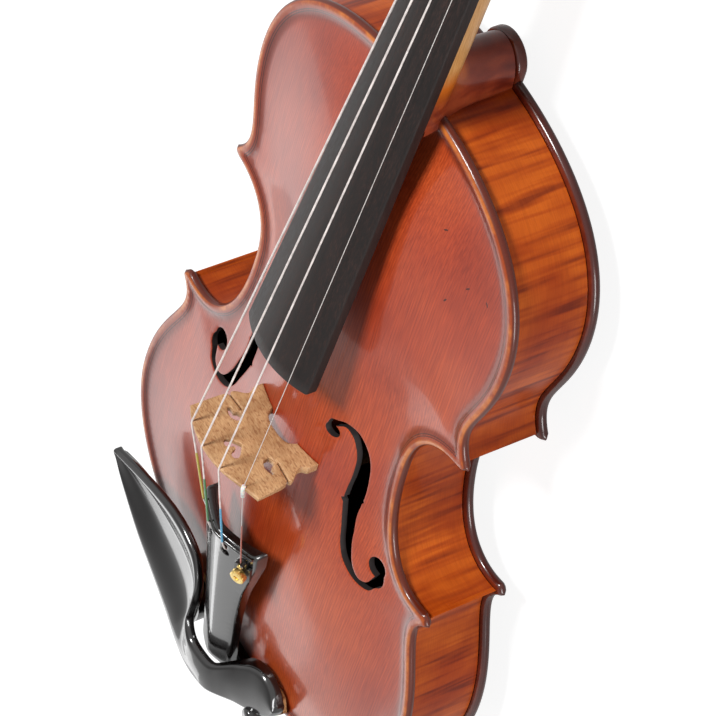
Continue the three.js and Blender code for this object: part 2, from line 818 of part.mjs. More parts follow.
const endBlockPlan = (fromCentre, width, depth) => {
  const rim = upTo(fromCentre, sideOf(width));
  const wallY = rim[0].y + Math.sign(bodyLength / 2 - rim[0].y) * depth;
  const half = [...rim, flat(width / 2, wallY)];
  return [...half, ...half.slice(1).reverse().map((p) => flat(-p.x, p.y))];
};
const bottomBlock = endBlockPlan(fences.lowerInner, bottomBlockWidth, bottomBlockDepth);
const topBlock = endBlockPlan([...fences.upperInner].reverse(), topBlockWidth, topBlockDepth);
add('bottom_block', block(bottomBlock).subtract(pinHole), finish.bareWood);
add('top_block', block(topBlock).subtract(heelCutter), finish.bareWood);
for (const [side, flip] of [['treble', false], ['bass', true]]) {
  const facing = (plan) => (flip ? mirrored(plan) : plan);
  add(`corner_block_lower_${side}`, block(facing(lowerBlockPlan)), finish.bareWood);
  add(`corner_block_upper_${side}`, block(facing(upperBlockPlan)), finish.bareWood);
}

// Linings of the lower and upper bouts, between the blocks, under the top and over the back.
const liningFrom = (points, from, to) => {
  const outer = stretch(points, from, to);
  const inner = parallel(outer, liningThickness);
  return [...outer, ...inner.reverse()];
};
const lowerLining = liningFrom(
  lowerInnerRun,
  lengthOf(upTo(lowerInnerRun, sideOf(bottomBlockWidth))) + 2 * seatGap,
  lengthOf(lowerInnerRun) - cornerBlockLength - 2 * seatGap,
);
const upperRun = lengthOf(upperInnerRun);
const upperLining = liningFrom(
  upperInnerRun,
  cornerBlockLength + 2 * seatGap,
  upperRun - lengthOf(upTo([...upperInnerRun].reverse(), sideOf(topBlockWidth))) - 2 * seatGap,
);
const liningFloor = () => -seatGap - liningDepth;
const liningCeiling = (x, y) => overBack(x, y) + liningDepth;
for (const [bout, plan] of [['lower', lowerLining], ['upper', upperLining]]) {
  for (const [side, flip] of [['treble', false], ['bass', true]]) {
    const placed = flip ? mirrored(plan) : plan;
    add(`${bout}_top_lining_${side}`, prism(placed, underTop, liningFloor), finish.bareWood);
    add(`${bout}_back_lining_${side}`, prism(placed, liningCeiling, overBack), finish.bareWood);
  }
}

// Bass bar and sound post, cut to the plates that they touch

const bridgeY = bridgeStationShare * bodyLength;
const barMiddle = bodyLength / 2 + seatGap;
const barRings = [];
const barTop = topArch - topThickness;
const barStations = 9;
for (let i = 0; i <= barStations; i += 1) {
  const share = i / barStations;
  const y = barMiddle + (share - 0.5) * barLength;
  const x = -mix(barLowerOffset, barUpperOffset, share);
  const bow = Math.sin(Math.PI * share);
  const crest = barTop + topThickness / 2 - (archEndFall + barEndDepth) * (2 * share - 1) ** 2;
  const foot = crest - mix(barEndDepth, barDepth, bow) - topThickness / 2;
  barRings.push([
    at(x - barWidth / 2, y, foot), at(x + barWidth / 2, y, foot),
    at(x + barWidth / 2, y, crest), at(x - barWidth / 2, y, crest),
  ]);
}
const underTopArch = solidOf(chamberSkin(topArch, topThickness, at));
const overBackArch = solidOf(facingOut(chamberSkin(backArch, backThickness, backPlace)));
add('bass_bar', solidOf(skin(barRings)).intersect(underTopArch), finish.bareWood);

const soundPost = new THREE.CylinderGeometry(
  soundPostRadius,
  soundPostRadius,
  ribDepthTail + topArch + backArch,
  16,
).rotateX(Math.PI / 2).translate(soundPostOffset, bridgeY - soundPostSetback, -ribDepthTail / 2);
add('sound_post', solidOf(soundPost).intersect(underTopArch).intersect(overBackArch), finish.bareWood);

// Saddle, end button, tailpiece, its fret and the tailgut

const saddleRings = [];
for (const y of [edgeOverhang / 2, saddleDepth]) {
  const top = saddleHeight - (y > edgeOverhang ? edgeThickness / 2 : 0);
  const half = saddleLength / 2;
  saddleRings.push([
    at(-half, y, 0), at(half, y, 0), at(half, y, edgeThickness),
    at(half - saddleHeight / 2, y, top), at(-half + saddleHeight / 2, y, top), at(-half, y, edgeThickness),
  ]);
}
add('saddle', skin(saddleRings), finish.ebony);

const buttonProfile = [
  [0, -buttonHeadLength], [buttonHeadRadius * 0.55, -buttonHeadLength],
  [buttonHeadRadius, -buttonHeadLength * 0.75], [buttonHeadRadius, -buttonHeadLength * 0.52],
  [buttonGrooveRadius, -buttonHeadLength * 0.38], [buttonGrooveRadius, -buttonHeadLength * 0.13],
  [buttonHeadRadius * 0.8, -seatGap],
  [buttonHeadRadius * 0.8, 0], [buttonPinRadius, 0],
  [buttonPinRadius * 0.92, buttonPinLength], [0, buttonPinLength],
];
const buttonFace = edgeOverhang - seatGap;
const endButton = turned(buttonProfile, 16).rotateX(-Math.PI / 2).translate(0, buttonFace, buttonHeight);
add('end_button', facingOut(mergeVertices(endButton)), finish.ebony);

const tailpieceTailY = tailpieceSetIn;
const tailpieceHeadY = tailpieceTailY + tailpieceLength;
const tailpieceTop = (share) => mix(tailpieceTailHeight, tailpieceHeadHeight, share);
const tailpieceWidthShares = [[0, 0], [0.35, 0.06], [0.6, 0.28], [0.8, 0.72], [0.92, 0.97], [1, 1]];
const tailpieceHalf = (share) => (
  mix(tailpieceTailWidth, tailpieceHeadWidth, follow(tailpieceWidthShares, share)) / 2
);
const tailpieceSlope = (tailpieceHeadHeight - tailpieceTailHeight) / tailpieceLength;
function tailpieceSection(share) {
  const y = mix(tailpieceTailY, tailpieceHeadY, share);
  const half = tailpieceHalf(share);
  const top = tailpieceTop(share);
  const side = top - tailpieceRidge * (half / (tailpieceHeadWidth / 2));
  const under = side - tailpieceThickness * mix(0.5, 0.8, share);
  const hollow = Math.min(top - tailpieceWall, side - tailpieceWall / 2);
  const shoulder = mix(top, side, 0.42);
  return [
    at(0, y, top), at(-half * 0.5, y, shoulder), at(-half, y, side), at(-half, y, under),
    at(-half * 0.72, y, under), at(-half * 0.5, y, hollow - tailpieceWall / 2), at(0, y, hollow),
    at(half * 0.5, y, hollow - tailpieceWall / 2), at(half * 0.72, y, under),
    at(half, y, under), at(half, y, side), at(half * 0.5, y, shoulder),
  ];
}
const tailpieceBlank = solidOf(skin([0, 0.04, 0.3, 0.5, 0.65, 0.78, 0.88, 0.96, 1].map(tailpieceSection)));
const slotY = tailpieceHeadY - tunerSetback;
const tailSurface = (x, y) => {
  const share = (y - tailpieceTailY) / tailpieceLength;
  const section = tailpieceSection(share);
  const half = tailpieceHalf(share);
  const rows = [[0, section[0].z], [half * 0.5, section[11].z], [half, section[10].z]];
  return follow(rows, Math.abs(x));
};
const keyhole = (x) => {
  const hole = new THREE.CylinderGeometry(keyholeRadius, keyholeRadius, 2 * overrun, 12)
    .rotateX(Math.PI / 2).translate(x, slotY, tailpieceHeadHeight);
  const slot = boxBetween(
    at(x - keyslotWidth / 2, slotY, tailpieceHeadHeight - overrun),
    at(x + keyslotWidth / 2, tailpieceHeadY - 2 * fretWidth, tailpieceHeadHeight + overrun),
  );
  return solidOf(hole).add(solidOf(slot));
};

// Fine tuner frame: on the tailpiece, rolled towards its side and pitched with its slope.
const rollReach = tunerScrewRadius;
const tunerRoll = Math.atan2(
  tailSurface(tunerOffset - rollReach, slotY) - tailSurface(tunerOffset + rollReach, slotY),
  2 * rollReach,
);
const tunerSeat = new THREE.Matrix4()
  .makeTranslation(tunerOffset, slotY, tailSurface(tunerOffset, slotY))
  .multiply(new THREE.Matrix4().makeRotationX(Math.atan(tailpieceSlope)))
  .multiply(new THREE.Matrix4().makeRotationY(tunerRoll));
function onTuner(across, along, up) {
  return at(across, along, up).applyMatrix4(tunerSeat);
}
const seated = (geometry) => solidOf(geometry.applyMatrix4(tunerSeat));
const blockStart = -tunerScrewSetback - tunerBlockLength / 2;
const tunerBlockSide = tunerBlockWidth / 2;
const tunerBlockAt = (clearance) => boxBetween(
  at(-tunerBlockSide - clearance, blockStart - clearance, seatGap - clearance),
  at(
    tunerBlockSide + clearance,
    blockStart + tunerBlockLength + clearance,
    seatGap + tunerBlockHeight + clearance,
  ),
);
const tunerWindow = boxBetween(
  at(-tunerWindowWidth / 2, -tunerWindowSetback, -overrun),
  at(tunerWindowWidth / 2, tunerWindowReach, overrun),
);
const fretBed = fretWidth + seatGap;
const fretCurve = (drop) => {
  const half = tailpieceHalf(1);
  const section = tailpieceSection(1);
  const steps = 8;
  return Array.from({ length: steps + 1 }, (_, i) => {
    const x = mix(-half, half, i / steps);
    const rows = [[0, section[0].z], [half * 0.5, section[11].z], [half, section[10].z]];
    return flat(x, follow(rows, Math.abs(x)) - drop);
  });
};
function fretSkin(rise, sink, width, grow) {
  const upper = fretCurve(-rise);
  const lower = fretCurve(sink).reverse();
  const loop = [...upper, ...lower].map((p) => flat(p.x * grow, p.y));
  const nearY = tailpieceHeadY - 1.5 * fretWidth - width / 2;
  return skin([nearY, nearY + width].map((y) => loop.map((p) => at(p.x, y, p.y))));
}
let tailpiece = tailpieceBlank
  .subtract(seated(tunerWindow))
  .subtract(seated(tunerBlockAt(seatGap)))
  .subtract(solidOf(fretSkin(overrun, fretRise + 3 * seatGap, fretBed, 1.05)));
for (const x of tailStringOffsets) tailpiece = tailpiece.subtract(keyhole(x));
let tailpieceFret = solidOf(fretSkin(fretRise, fretRise, fretWidth, 1));

// A cord of straight or curved runs: a ring of points at each place along it.
function cordSkin(points, radius, sides) {
  const normal = at(1, 0, 0);
  const rings = points.map((p, i) => {
    const run = points[Math.min(i + 1, points.length - 1)].clone()
      .sub(points[Math.max(i - 1, 0)]).normalize();
    normal.addScaledVector(run, -normal.dot(run)).normalize();
    const across = run.clone().cross(normal);
    return Array.from({ length: sides }, (_, k) => {
      const angle = (2 * Math.PI * k) / sides;
      return p.clone().addScaledVector(normal, radius * Math.cos(angle))
        .addScaledVector(across, radius * Math.sin(angle));
    });
  });
  return skin(rings);
}

// The tailgut runs out of the tailpiece, over the saddle, round the button and back.
const gutDrop = buttonGrooveRadius + 2 * tailgutRadius;
const gutBury = 4;
const gutHeight = tailpieceTop(0) - tailpieceWall - tailgutRadius;
const gutLine = buttonFace - buttonHeadLength / 4;
const gutSide = [
  [tailgutOffset, tailpieceTailY + gutBury, gutHeight + gutBury * tailpieceSlope],
  [tailgutOffset, tailpieceTailY, gutHeight],
  [tailgutOffset, edgeOverhang, saddleHeight + tailgutRadius + 2 * seatGap],
  [tailgutOffset, 0, saddleHeight + tailgutRadius / 2],
  [tailgutOffset, -1.3 * tailgutRadius, saddleHeight - 2 * tailgutRadius],
  [tailgutOffset, -1.6 * tailgutRadius, edgeThickness],
  [tailgutOffset, -1.5 * tailgutRadius, -edgeRound],
  [gutDrop, gutLine, buttonHeight / 2],
].map(([x, y, z]) => at(x, y, z));
const gutRound = Array.from({ length: 7 }, (_, i) => {
  const angle = (Math.PI * i) / 6;
  return at(gutDrop * Math.cos(angle), gutLine, buttonHeight - gutDrop * Math.sin(angle));
});
const gutRoute = [
  ...gutSide,
  ...gutRound,
  ...[...gutSide].reverse().map((p) => at(-p.x, p.y, p.z)),
];
const gutAt = (radius) => solidOf(cordSkin(gutRoute, radius, 8));
add('tailgut', gutAt(tailgutRadius), finish.cord);
tailpiece = tailpiece.subtract(gutAt(tailgutRadius + seatGap));

// Fingerboard, nut and neck

const boardEndY = nutY - boardLength;
const boardHalf = (y) => mix(boardWidthNut, boardWidthEnd, (nutY - y) / boardLength) / 2;
const boardArc = (x, half) => Math.sqrt(boardRadius ** 2 - x ** 2) - Math.sqrt(boardRadius ** 2 - half ** 2);
const boardTop = (x, y) => neckPlane(y) + boardEdge + boardArc(x, boardHalf(y));
const boardStationShares = [0, 0.02, 0.25, 0.48, 0.5, 0.54, 0.8, 0.99, 1];
const boardRings = boardStationShares.map((share) => {
  const y = mix(nutY - seatGap, boardEndY, share);
  const half = boardHalf(y);
  const rise = boardHollow * THREE.MathUtils.clamp((share - 0.5) / 0.04, 0, 1);
  const upper = [];
  const lower = [];
  for (let i = 0; i <= 8; i += 1) {
    const x = mix(half, -half, i / 8);
    upper.push(at(x, y, boardTop(x, y)));
    const arch = Math.max(0, 1 - ((2 * i) / 8 - 1) ** 2 - 0.2) / 0.8;
    lower.push(at(-x, y, neckPlane(y) + seatGap + rise * arch));
  }
  return [...upper, ...lower];
});
add('fingerboard', skin(boardRings), finish.ebony);

const nutTop = (x) => boardTop(x, nutY) + nutRise;
const nutRings = [0, 1].map((share) => {
  const y = nutY + share * nutLength;
  const half = boardWidthNut / 2;
  const ring = [];
  for (let i = 0; i <= 6; i += 1) {
    const x = mix(half, -half, i / 6);
    ring.push(at(x, y, nutTop(x) - share * 2 * nutRise));
  }
  ring.push(at(-half, y, neckPlane(y) + seatGap), at(half, y, neckPlane(y) + seatGap));
  return ring;
});
const nutBlank = solidOf(skin(nutRings));

// Head: the pegbox runs from the nut to the foot of the scroll.
const scrollReach = (turns) => scrollRadius * scrollTurnShare ** turns;
const eyeY = nutY + headLength - scrollReach(0.25);
const eyeZ = -scrollDrop;
const headRun = eyeY - nutY;
const cheekTopShares = [[0.06, 0], [0.3, 0.2], [0.55, 0.5], [0.74, 1], [0.85, 1.9], [1, 2.4]];
const headUnderShares = [
  [0, 0], [0.1, 0.1], [0.23, 0.33], [0.41, 0.56], [0.58, 0.74], [0.77, 0.9], [1, 1],
];
const headWidthShares = [[0, 0], [0.77, 0.8], [1, 1]];
const cheekTop = (share) => neckPlane(nutY) + cheekRise - cheekFall * follow(cheekTopShares, share);
const neckUnder = neckPlane(nutY) - neckDepthNut;
const headUnder = (share) => mix(neckUnder, eyeZ - scrollRadius, follow(headUnderShares, share));
const headHalf = (share) => mix(neckWidthNut, scrollStartWidth, follow(headWidthShares, share)) / 2;

function flutedBack(half, reachAt, flute) {
  return [
    [-half, reachAt(headChamfer)], [-half + headChamfer, reachAt(0)], [-half / 2, reachAt(flute)],
    [0, reachAt(0)], [half / 2, reachAt(flute)], [half - headChamfer, reachAt(0)],
    [half, reachAt(headChamfer)],
  ];
}
const pegboxRings = [0.05, 0.12, 0.23, 0.41, 0.58, 0.74, 0.85, 1].map((share) => {
  const y = nutY + share * headRun;
  const half = headHalf(share);
  const back = flutedBack(half, (lift) => headUnder(share) + lift, headFlute * Math.min(1, 4 * share));
  return [at(half, y, cheekTop(share)), at(-half, y, cheekTop(share)), ...back.map(([x, z]) => at(x, y, z))];
});
const cavityShares = [0.09, 0.3, 0.52, 0.775];
const cavitySide = (sign) => cavityShares.map((share) => (
  flat(sign * (headHalf(share) - pegboxWall), nutY + share * headRun)
));
const cavityFloor = (x, y) => headUnder((y - nutY) / headRun) + pegboxFloor;
const cavity = prism([...cavitySide(1), ...cavitySide(-1).reverse()], () => overrun, cavityFloor);

// Scroll: each stretch of the spiral is a fluted band that widens towards the eye.
function scrollBand(fromTurn, toTurn) {
  const steps = Math.round((toTurn - fromTurn) * scrollSteps);
  const rings = [];
  for (let i = 0; i <= steps; i += 1) {
    const turns = mix(fromTurn, toTurn, i / steps);
    const reach = scrollReach(turns);
    const spread = (turns / scrollTurns) ** scrollWidthPowerShare;
    const half = mix(scrollStartWidth, scrollEyeWidth - 2 * headChamfer, spread) / 2;
    const angle = 2 * Math.PI * turns;
    const place = (x, r) => at(x, eyeY + r * Math.sin(angle), eyeZ - r * Math.cos(angle));
    const flute = headFlute * THREE.MathUtils.clamp(2 - 2 * turns, 0, 1);
    const back = flutedBack(half, (lift) => reach - lift, flute);
    rings.push([
      place(half, reach * scrollInnerShare), place(-half, reach * scrollInnerShare),
      ...back.map(([x, r]) => place(x, r)),
    ]);
  }
  return solidOf(skin(rings));
}
const scrollEye = turned([
  [0, -scrollEyeWidth / 2], [scrollEyeRadius - headChamfer, -scrollEyeWidth / 2],
  [scrollEyeRadius, headChamfer - scrollEyeWidth / 2], [scrollEyeRadius, scrollEyeWidth / 2 - headChamfer],
  [scrollEyeRadius - headChamfer, scrollEyeWidth / 2], [0, scrollEyeWidth / 2],
], 14).rotateY(Math.PI / 2).translate(0, eyeY, eyeZ);

// Neck shaft: half-round sections hung under the neck plane.
const shaftShares = [0, 0.12, 0.3, 0.6, 0.9, 1];
const shaftStart = bodyLength - mortiseDepth / 2;
const shaftRings = shaftShares.map((share) => {
  const y = mix(shaftStart, nutY + nutLength, share);
  const half = mix(neckWidthBody, neckWidthNut, share) / 2;
  const depth = mix(neckDepthBody, neckDepthNut, share);
  const ring = [at(-half, y, neckPlane(y) + neckSide), at(half, y, neckPlane(y) + neckSide)];
  for (let i = 0; i <= 10; i += 1) {
    const angle = (Math.PI * i) / 10;
    const drop = neckSide + (depth - neckSide) * Math.sin(angle) ** 0.9;
    ring.push(at(half * Math.cos(angle), y, neckPlane(y) - drop));
  }
  return ring;
});
const abovePlane = prism(
  [
    flat(-overrun, bodyLength - overrun), flat(overrun, bodyLength - overrun),
    flat(overrun, nutY + nutLength), flat(-overrun, nutY + nutLength),
  ],
  () => 2 * overrun,
  (x, y) => neckPlane(y),
);
let neck = solidOf(heelSkin(0))
  .add(solidOf(skin(shaftRings)))
  .add(solidOf(skin(pegboxRings)))
  .subtract(solidOf(abovePlane))
  .add(scrollBand(0, 0.8))
  .add(scrollBand(0.75, 1.6))
  .add(scrollBand(1.5, scrollTurns))
  .add(solidOf(facingOut(mergeVertices(scrollEye))))
  .subtract(solidOf(cavity));

// Pegs, with the turns of string that each one holds

function pegPlace(i) {
  const station = pegStationShares[i] * headLength;
  const share = station / headRun;
  const z = mix(cheekTop(share), headUnder(share), pegDropShare);
  return { y: nutY + station, z, half: headHalf(share), side: pegSides[i] };
}
function pegBlank({ half, side, y, z }, grow) {
  const collarAt = half + pegHeadGap - pegCollarWidth;
  const thumbAt = half + pegHeadGap;
  const stem = [
    [0, -half - pegOvershoot], [pegTipRadius - headChamfer / 2, -half - pegOvershoot],
    [pegTipRadius, headChamfer / 2 - half - pegOvershoot], [pegRadius, collarAt],
    [pegCollarRadius, collarAt], [pegCollarRadius, thumbAt - pegCollarWidth / 3],
    [pegRadius * 0.8, thumbAt], [pegRadius * 0.8, thumbAt + pegCollarWidth], [0, thumbAt + pegCollarWidth],
  ];
  const thumb = thumbShares.map(([run, width, thickness]) => {
    const ring = [];
    for (let k = 0; k < 10; k += 1) {
      const angle = (2 * Math.PI * k) / 10;
      ring.push(at(
        0.5 * pegThumbThickness * thickness * Math.cos(angle),
        0.5 * pegThumbWidth * width * Math.sin(angle),
        thumbAt + run * pegThumbLength,
      ));
    }
    return ring;
  });
  const turn = (geometry) => solidOf(facingOut(mergeVertices(geometry.clone()))
    .rotateY((side * Math.PI) / 2).translate(0, y, z));
  return grow > 0
    ? turn(turned([
      [0, -half - overrun], [pegTipRadius + grow, -half - overrun],
      [pegTipRadius + grow, -half - pegOvershoot], [pegRadius + grow, collarAt], [0, collarAt],
    ], 14))
    : turn(turned(stem, 14)).add(turn(skin(thumb)));
}
stringNames.forEach((name, i) => {
  const place = pegPlace(i);
  add(`${name}_peg`, pegBlank(place, 0), finish.ebony);
  neck = neck.subtract(pegBlank(place, seatGap));
});
add('neck_and_scroll', neck, finish.neck);

// The turns start on the string's own line and climb towards the peg's head.
const windingReach = (i) => pegRadius + stringRadii[i] + windingLift;
const leastTurnGap = [];
stringNames.forEach((name, i) => {
  const { y, z, side } = pegPlace(i);
  const reach = windingReach(i);
  const route = [at(windingStarts[i], y - 2 * stringRadii[i], z + reach)];
  const steps = windingTurns * windingSteps;
  for (let k = 0; k <= steps; k += 1) {
    const angle = (2 * Math.PI * k) / windingSteps;
    const along = windingStarts[i] + (side * windingPitch * k) / windingSteps;
    route.push(at(along, y + reach * Math.sin(angle), z + reach * Math.cos(angle)));
  }
  add(`${name}_winding`, cordSkin(route, stringRadii[i], windingSides), finish.steel);
  leastTurnGap.push(leastGap(route, windingSteps) - 2 * stringRadii[i]);
});
function leastGap(route, turnSteps) {
  let least = Infinity;
  for (let a = 0; a < route.length; a += 1) {
    for (let b = a + Math.round(turnSteps / 2); b < route.length; b += 1) {
      least = Math.min(least, route[a].distanceTo(route[b]));
    }
  }
  return least;
}
console.log('least gap between turns, mm:', leastTurnGap.map((gap) => gap.toFixed(2)).join(' '));

// Strings: from the tailpiece over its fret, the bridge and the nut to just short of the turns.
const fretY = tailpieceHeadY - 1.5 * fretWidth;
const fretTop = (x) => tailSurface(x, fretY) + fretRise;
const stringLift = (i) => stringRadii[i] + seatGap;

// Each string's height at the bridge follows from its height over the end of the fingerboard.
function bridgeStringHeight(i) {
  const nutHeight = nutTop(nutStringOffsets[i]) + stringLift(i);
  const boardShare = (nutY - boardEndY) / (nutY - bridgeY);
  const x = mix(nutStringOffsets[i], bridgeStringOffsets[i], boardShare);
  return nutHeight + (boardTop(x, boardEndY) + boardEndClearances[i] - nutHeight) / boardShare;
}
function stringRoute(i) {
  const radius = stringRadii[i];
  const tailX = tailStringOffsets[i];
  const peg = pegPlace(i);
  const nutX = nutStringOffsets[i];
  const reach = windingReach(i);
  const stop = Math.sqrt((reach + radius + seatGap) ** 2 - (reach - radius) ** 2) + seatGap;
  const lift = stringLift(i);
  const last = i === stringNames.length - 1;
  const tail = last
    ? [eStringEnd()]
    : [
      at(tailX, slotY, tailSurface(tailX, slotY) - tailpieceWall * 0.6),
      at(tailX, slotY + keyholeRadius, tailSurface(tailX, slotY) + lift * 0.5),
      at(tailX, fretY, fretTop(tailX) + lift),
    ];
  return [
    ...tail,
    at(bridgeStringOffsets[i], bridgeY, bridgeStringHeight(i)),
    at(nutX, nutY, nutTop(nutX) + lift),
    at(nutX, nutY + nutLength, nutTop(nutX) - nutRise + lift),
    at(mix(nutX, windingStarts[i], 0.9), peg.y - stop - radius, peg.z + reach),
    at(windingStarts[i], peg.y - stop, peg.z + reach),
  ];
}

// Fine tuner
function eStringEnd() {
  return onTuner(0, ballForward + ballRadius + leverSwing + seatGap, ballRise);
}
const drill = (radius, low, high) => new THREE.CylinderGeometry(radius, radius, high - low, 12)
  .rotateX(Math.PI / 2).translate(0, -tunerScrewSetback, (low + high) / 2);
const crossPin = (radius, width) => new THREE.CylinderGeometry(radius, radius, width, 12)
  .rotateZ(Math.PI / 2).translate(0, tunerPivotForward, -tunerPivotDrop);
const ear = (side) => {
  const edges = [side * tunerEarOffset, side * (tunerEarOffset + tunerEarWidth)].sort((a, b) => a - b);
  return seated(boxBetween(
    at(edges[0], blockStart + tunerBlockLength - tunerEarLength, -tunerPivotDrop - 2 * tunerPivotRadius),
    at(edges[1], tunerPivotForward + tunerEarLength / 2, seatGap + tunerBlockHeight),
  ));
};
const tunerBracket = seated(tunerBlockAt(0))
  .subtract(seated(drill(tunerScrewRadius + seatGap, -overrun, overrun)))
  .add(ear(1))
  .add(ear(-1))
  .add(seated(crossPin(tunerPivotRadius, 2 * tunerEarOffset + tunerEarWidth)));
add('tuner_bracket', tunerBracket, finish.black);

const hookStart = tunerPivotForward + hookSetForward;
const leverPlan = [
  [-tunerScrewSetback - leverDepth, -tunerPivotDrop + leverDepth / 2],
  [tunerPivotForward - leverDepth / 2, -tunerPivotDrop + leverDepth / 2],
  [hookStart, 0], [hookStart, hookRise],
  [hookStart + hookLength, hookRise], [hookStart + hookLength, 0],
  [tunerPivotForward + leverDepth, -tunerPivotDrop], [tunerPivotForward, -tunerPivotDrop - leverDepth / 2],
  [-tunerScrewSetback - leverDepth, -tunerPivotDrop - leverDepth / 2],
];
const leverShape = new THREE.Shape(leverPlan.map(([along, up]) => flat(along, up)));
const leverBlank = new THREE.ExtrudeGeometry(leverShape, { depth: leverWidth, bevelEnabled: false })
  .rotateX(Math.PI / 2).rotateZ(Math.PI / 2).translate(-leverWidth / 2, 0, 0);
const lever = seated(leverBlank)
  .subtract(seated(crossPin(tunerPivotRadius + seatGap, 2 * leverWidth)))
  .add(seated(boxBetween(
    at(-hookWidth / 2, hookStart, ballRise - ballRadius),
    at(hookWidth / 2, hookStart + hookLength, hookRise),
  )))
  .subtract(seated(boxBetween(
    at(-hookSlot / 2, tunerPivotForward, ballRise - ballRadius / 2),
    at(hookSlot / 2, tunerPivotForward + 2 * leverDepth, overrun),
  )));
add('tuner_lever', lever, finish.black);
const knobFoot = seatGap + tunerBlockHeight + tunerScrewTravel;
const screwTip = -tunerPivotDrop + leverDepth / 2 + seatGap;
const screwHead = knobFoot + knobHeight - 2 * seatGap;
add('tuner_screw', seated(drill(tunerScrewRadius, screwTip, screwHead)), finish.gilt);
const knobShape = new THREE.Shape(Array.from({ length: 2 * knobTeeth }, (_, k) => {
  const radius = knobRadius - (k % 2) * knobToothDepth;
  return heading((180 * k) / knobTeeth, radius);
}));
const knob = new THREE.ExtrudeGeometry(knobShape, { depth: knobHeight, bevelEnabled: false })
  .translate(0, -tunerScrewSetback, knobFoot);
add('tuner_knob', seated(knob)
  .subtract(seated(drill(tunerScrewRadius + seatGap, -overrun, screwHead + seatGap))), finish.gilt);
const ball = new THREE.SphereGeometry(ballRadius, 12, 8);
add('e_string_ball', seated(mergeVertices(ball.translate(0, ballForward, ballRise))), finish.gilt);

const stringAt = (i, grow) => solidOf(cordSkin(stringRoute(i), stringRadii[i] + grow, 8));
const grooves = stringNames.map((name, i) => stringAt(i, seatGap));
stringNames.forEach((name, i) => add(`${name}_string`, stringAt(i, 0), finish.steel));
for (const groove of grooves) {
  tailpieceFret = tailpieceFret.subtract(groove);
  tailpiece = tailpiece.subtract(groove);
}
add('tailpiece', tailpiece, finish.ebony);
add('tailpiece_fret', tailpieceFret, finish.ebony);
add('nut', grooves.reduce((solid, groove) => solid.subtract(groove), nutBlank), finish.ebony);

// The thin plastic sleeve that keeps the e string out of the bridge
const eRoute = stringRoute(3);
const eTail = eRoute[0];
const eBridge = eRoute[1];
const sleeveRoute = [
  eBridge.clone().lerp(eTail, sleeveLength / eBridge.distanceTo(eTail)),
  eBridge,
  eBridge.clone().lerp(eRoute[2], sleeveNose / eBridge.distanceTo(eRoute[2])),
];
const sleeveAt = (radius) => solidOf(cordSkin(sleeveRoute, radius, 10));
add('e_string_sleeve', sleeveAt(sleeveRadius).subtract(stringAt(3, seatGap)), finish.sleeve);

// Bridge: a face outline, pierced, thinned towards the top and fitted to the arch

const halfFeet = bridgeFeetWidth / 2;
const bridgeBase = topArch;
const crownSeats = stringNames.map((name, i) => (
  flat(bridgeStringOffsets[i], bridgeStringHeight(i) - stringRadii[i] / 2)
));
const crownLine = new THREE.SplineCurve([
  flat(-bridgeTopWidth / 2, crownSeats[0].y - bridgeShoulderDrops[0]),
  ...crownSeats,
  flat(bridgeTopWidth / 2, crownSeats[3].y - bridgeShoulderDrops[1]),
]);
const bridgeHeight = crownSeats[1].y - bridgeBase;
const bridgeSideShares = [
  [0, 0.121], [0.19, 0.115], [0.337, 0.074], [0.424, 0.015], [0.44, -0.1], [1, -0.1], [1, 0.02],
  [0.93, 0.1], [0.935, 0.145], [1.03, 0.2], [1.09, 0.28], [1.08, 0.33], [0.675, 0.3127],
  [0.675, 0.334], [1.07, 0.36], [1.12, 0.4], [1.147, 0.573],
];
const bridgeSide = (side) => bridgeSideShares.map(([x, z]) => (
  flat(side * x * halfFeet, bridgeBase + z * bridgeHeight)
));
const bridgeCrown = crownLine.getPoints(14).reverse();
const bridgeFace = new THREE.Shape([
  ...bridgeSide(1), ...bridgeCrown, ...bridgeSide(-1).reverse().slice(0, -1),
]);
const heartShares = [
  [0, 0.565], [0.09, 0.605], [0.19, 0.655], [0.23, 0.7], [0.2, 0.74], [0.12, 0.75], [0.06, 0.715],
  [0.03, 0.66], [-0.03, 0.66], [-0.06, 0.715], [-0.12, 0.75], [-0.2, 0.74], [-0.23, 0.7],
  [-0.19, 0.655], [-0.09, 0.605],
];
const kidneyShares = [
  [0.511, 0.458], [0.496, 0.4], [0.578, 0.365], [0.67, 0.387], [0.713, 0.424], [0.814, 0.43],
  [0.843, 0.458], [0.761, 0.489], [0.627, 0.498],
];
const pierced = (pairs, side) => new THREE.Path(pairs.map(([x, z]) => (
  flat(side * x * halfFeet, bridgeBase + z * bridgeHeight)
)));
bridgeFace.holes.push(pierced(heartShares, 1), pierced(kidneyShares, 1), pierced(kidneyShares, -1));
const bridgeBlank = new THREE.ExtrudeGeometry(bridgeFace, { depth: bridgeFootThickness, bevelEnabled: false })
  .rotateX(Math.PI / 2).translate(0, bridgeFootThickness, 0);
const bridgePlaces = bridgeBlank.attributes.position;
for (let i = 0; i < bridgePlaces.count; i += 1) {
  const rise = (bridgePlaces.getZ(i) - bridgeBase) / bridgeHeight;
  const thinned = mix(1, bridgeTopThickness / bridgeFootThickness, rise);
  bridgePlaces.setY(i, bridgePlaces.getY(i) * thinned);
}
bridgeBlank.translate(0, bridgeY - bridgeTopThickness / 2, 0);
const bridge = grooves.reduce((solid, groove) => solid.subtract(groove), solidOf(bridgeBlank))
  .subtract(sleeveAt(sleeveRadius + seatGap))
  .subtract(solids.top_plate.translate([0, 0, seatGap]))
  .subtract(solids.top_plate.translate([0, 0, seatGap - topThickness / 2]))
  .subtract(solids.top_plate.translate([0, 0, seatGap - topThickness]));
add('bridge', bridge, finish.maple);

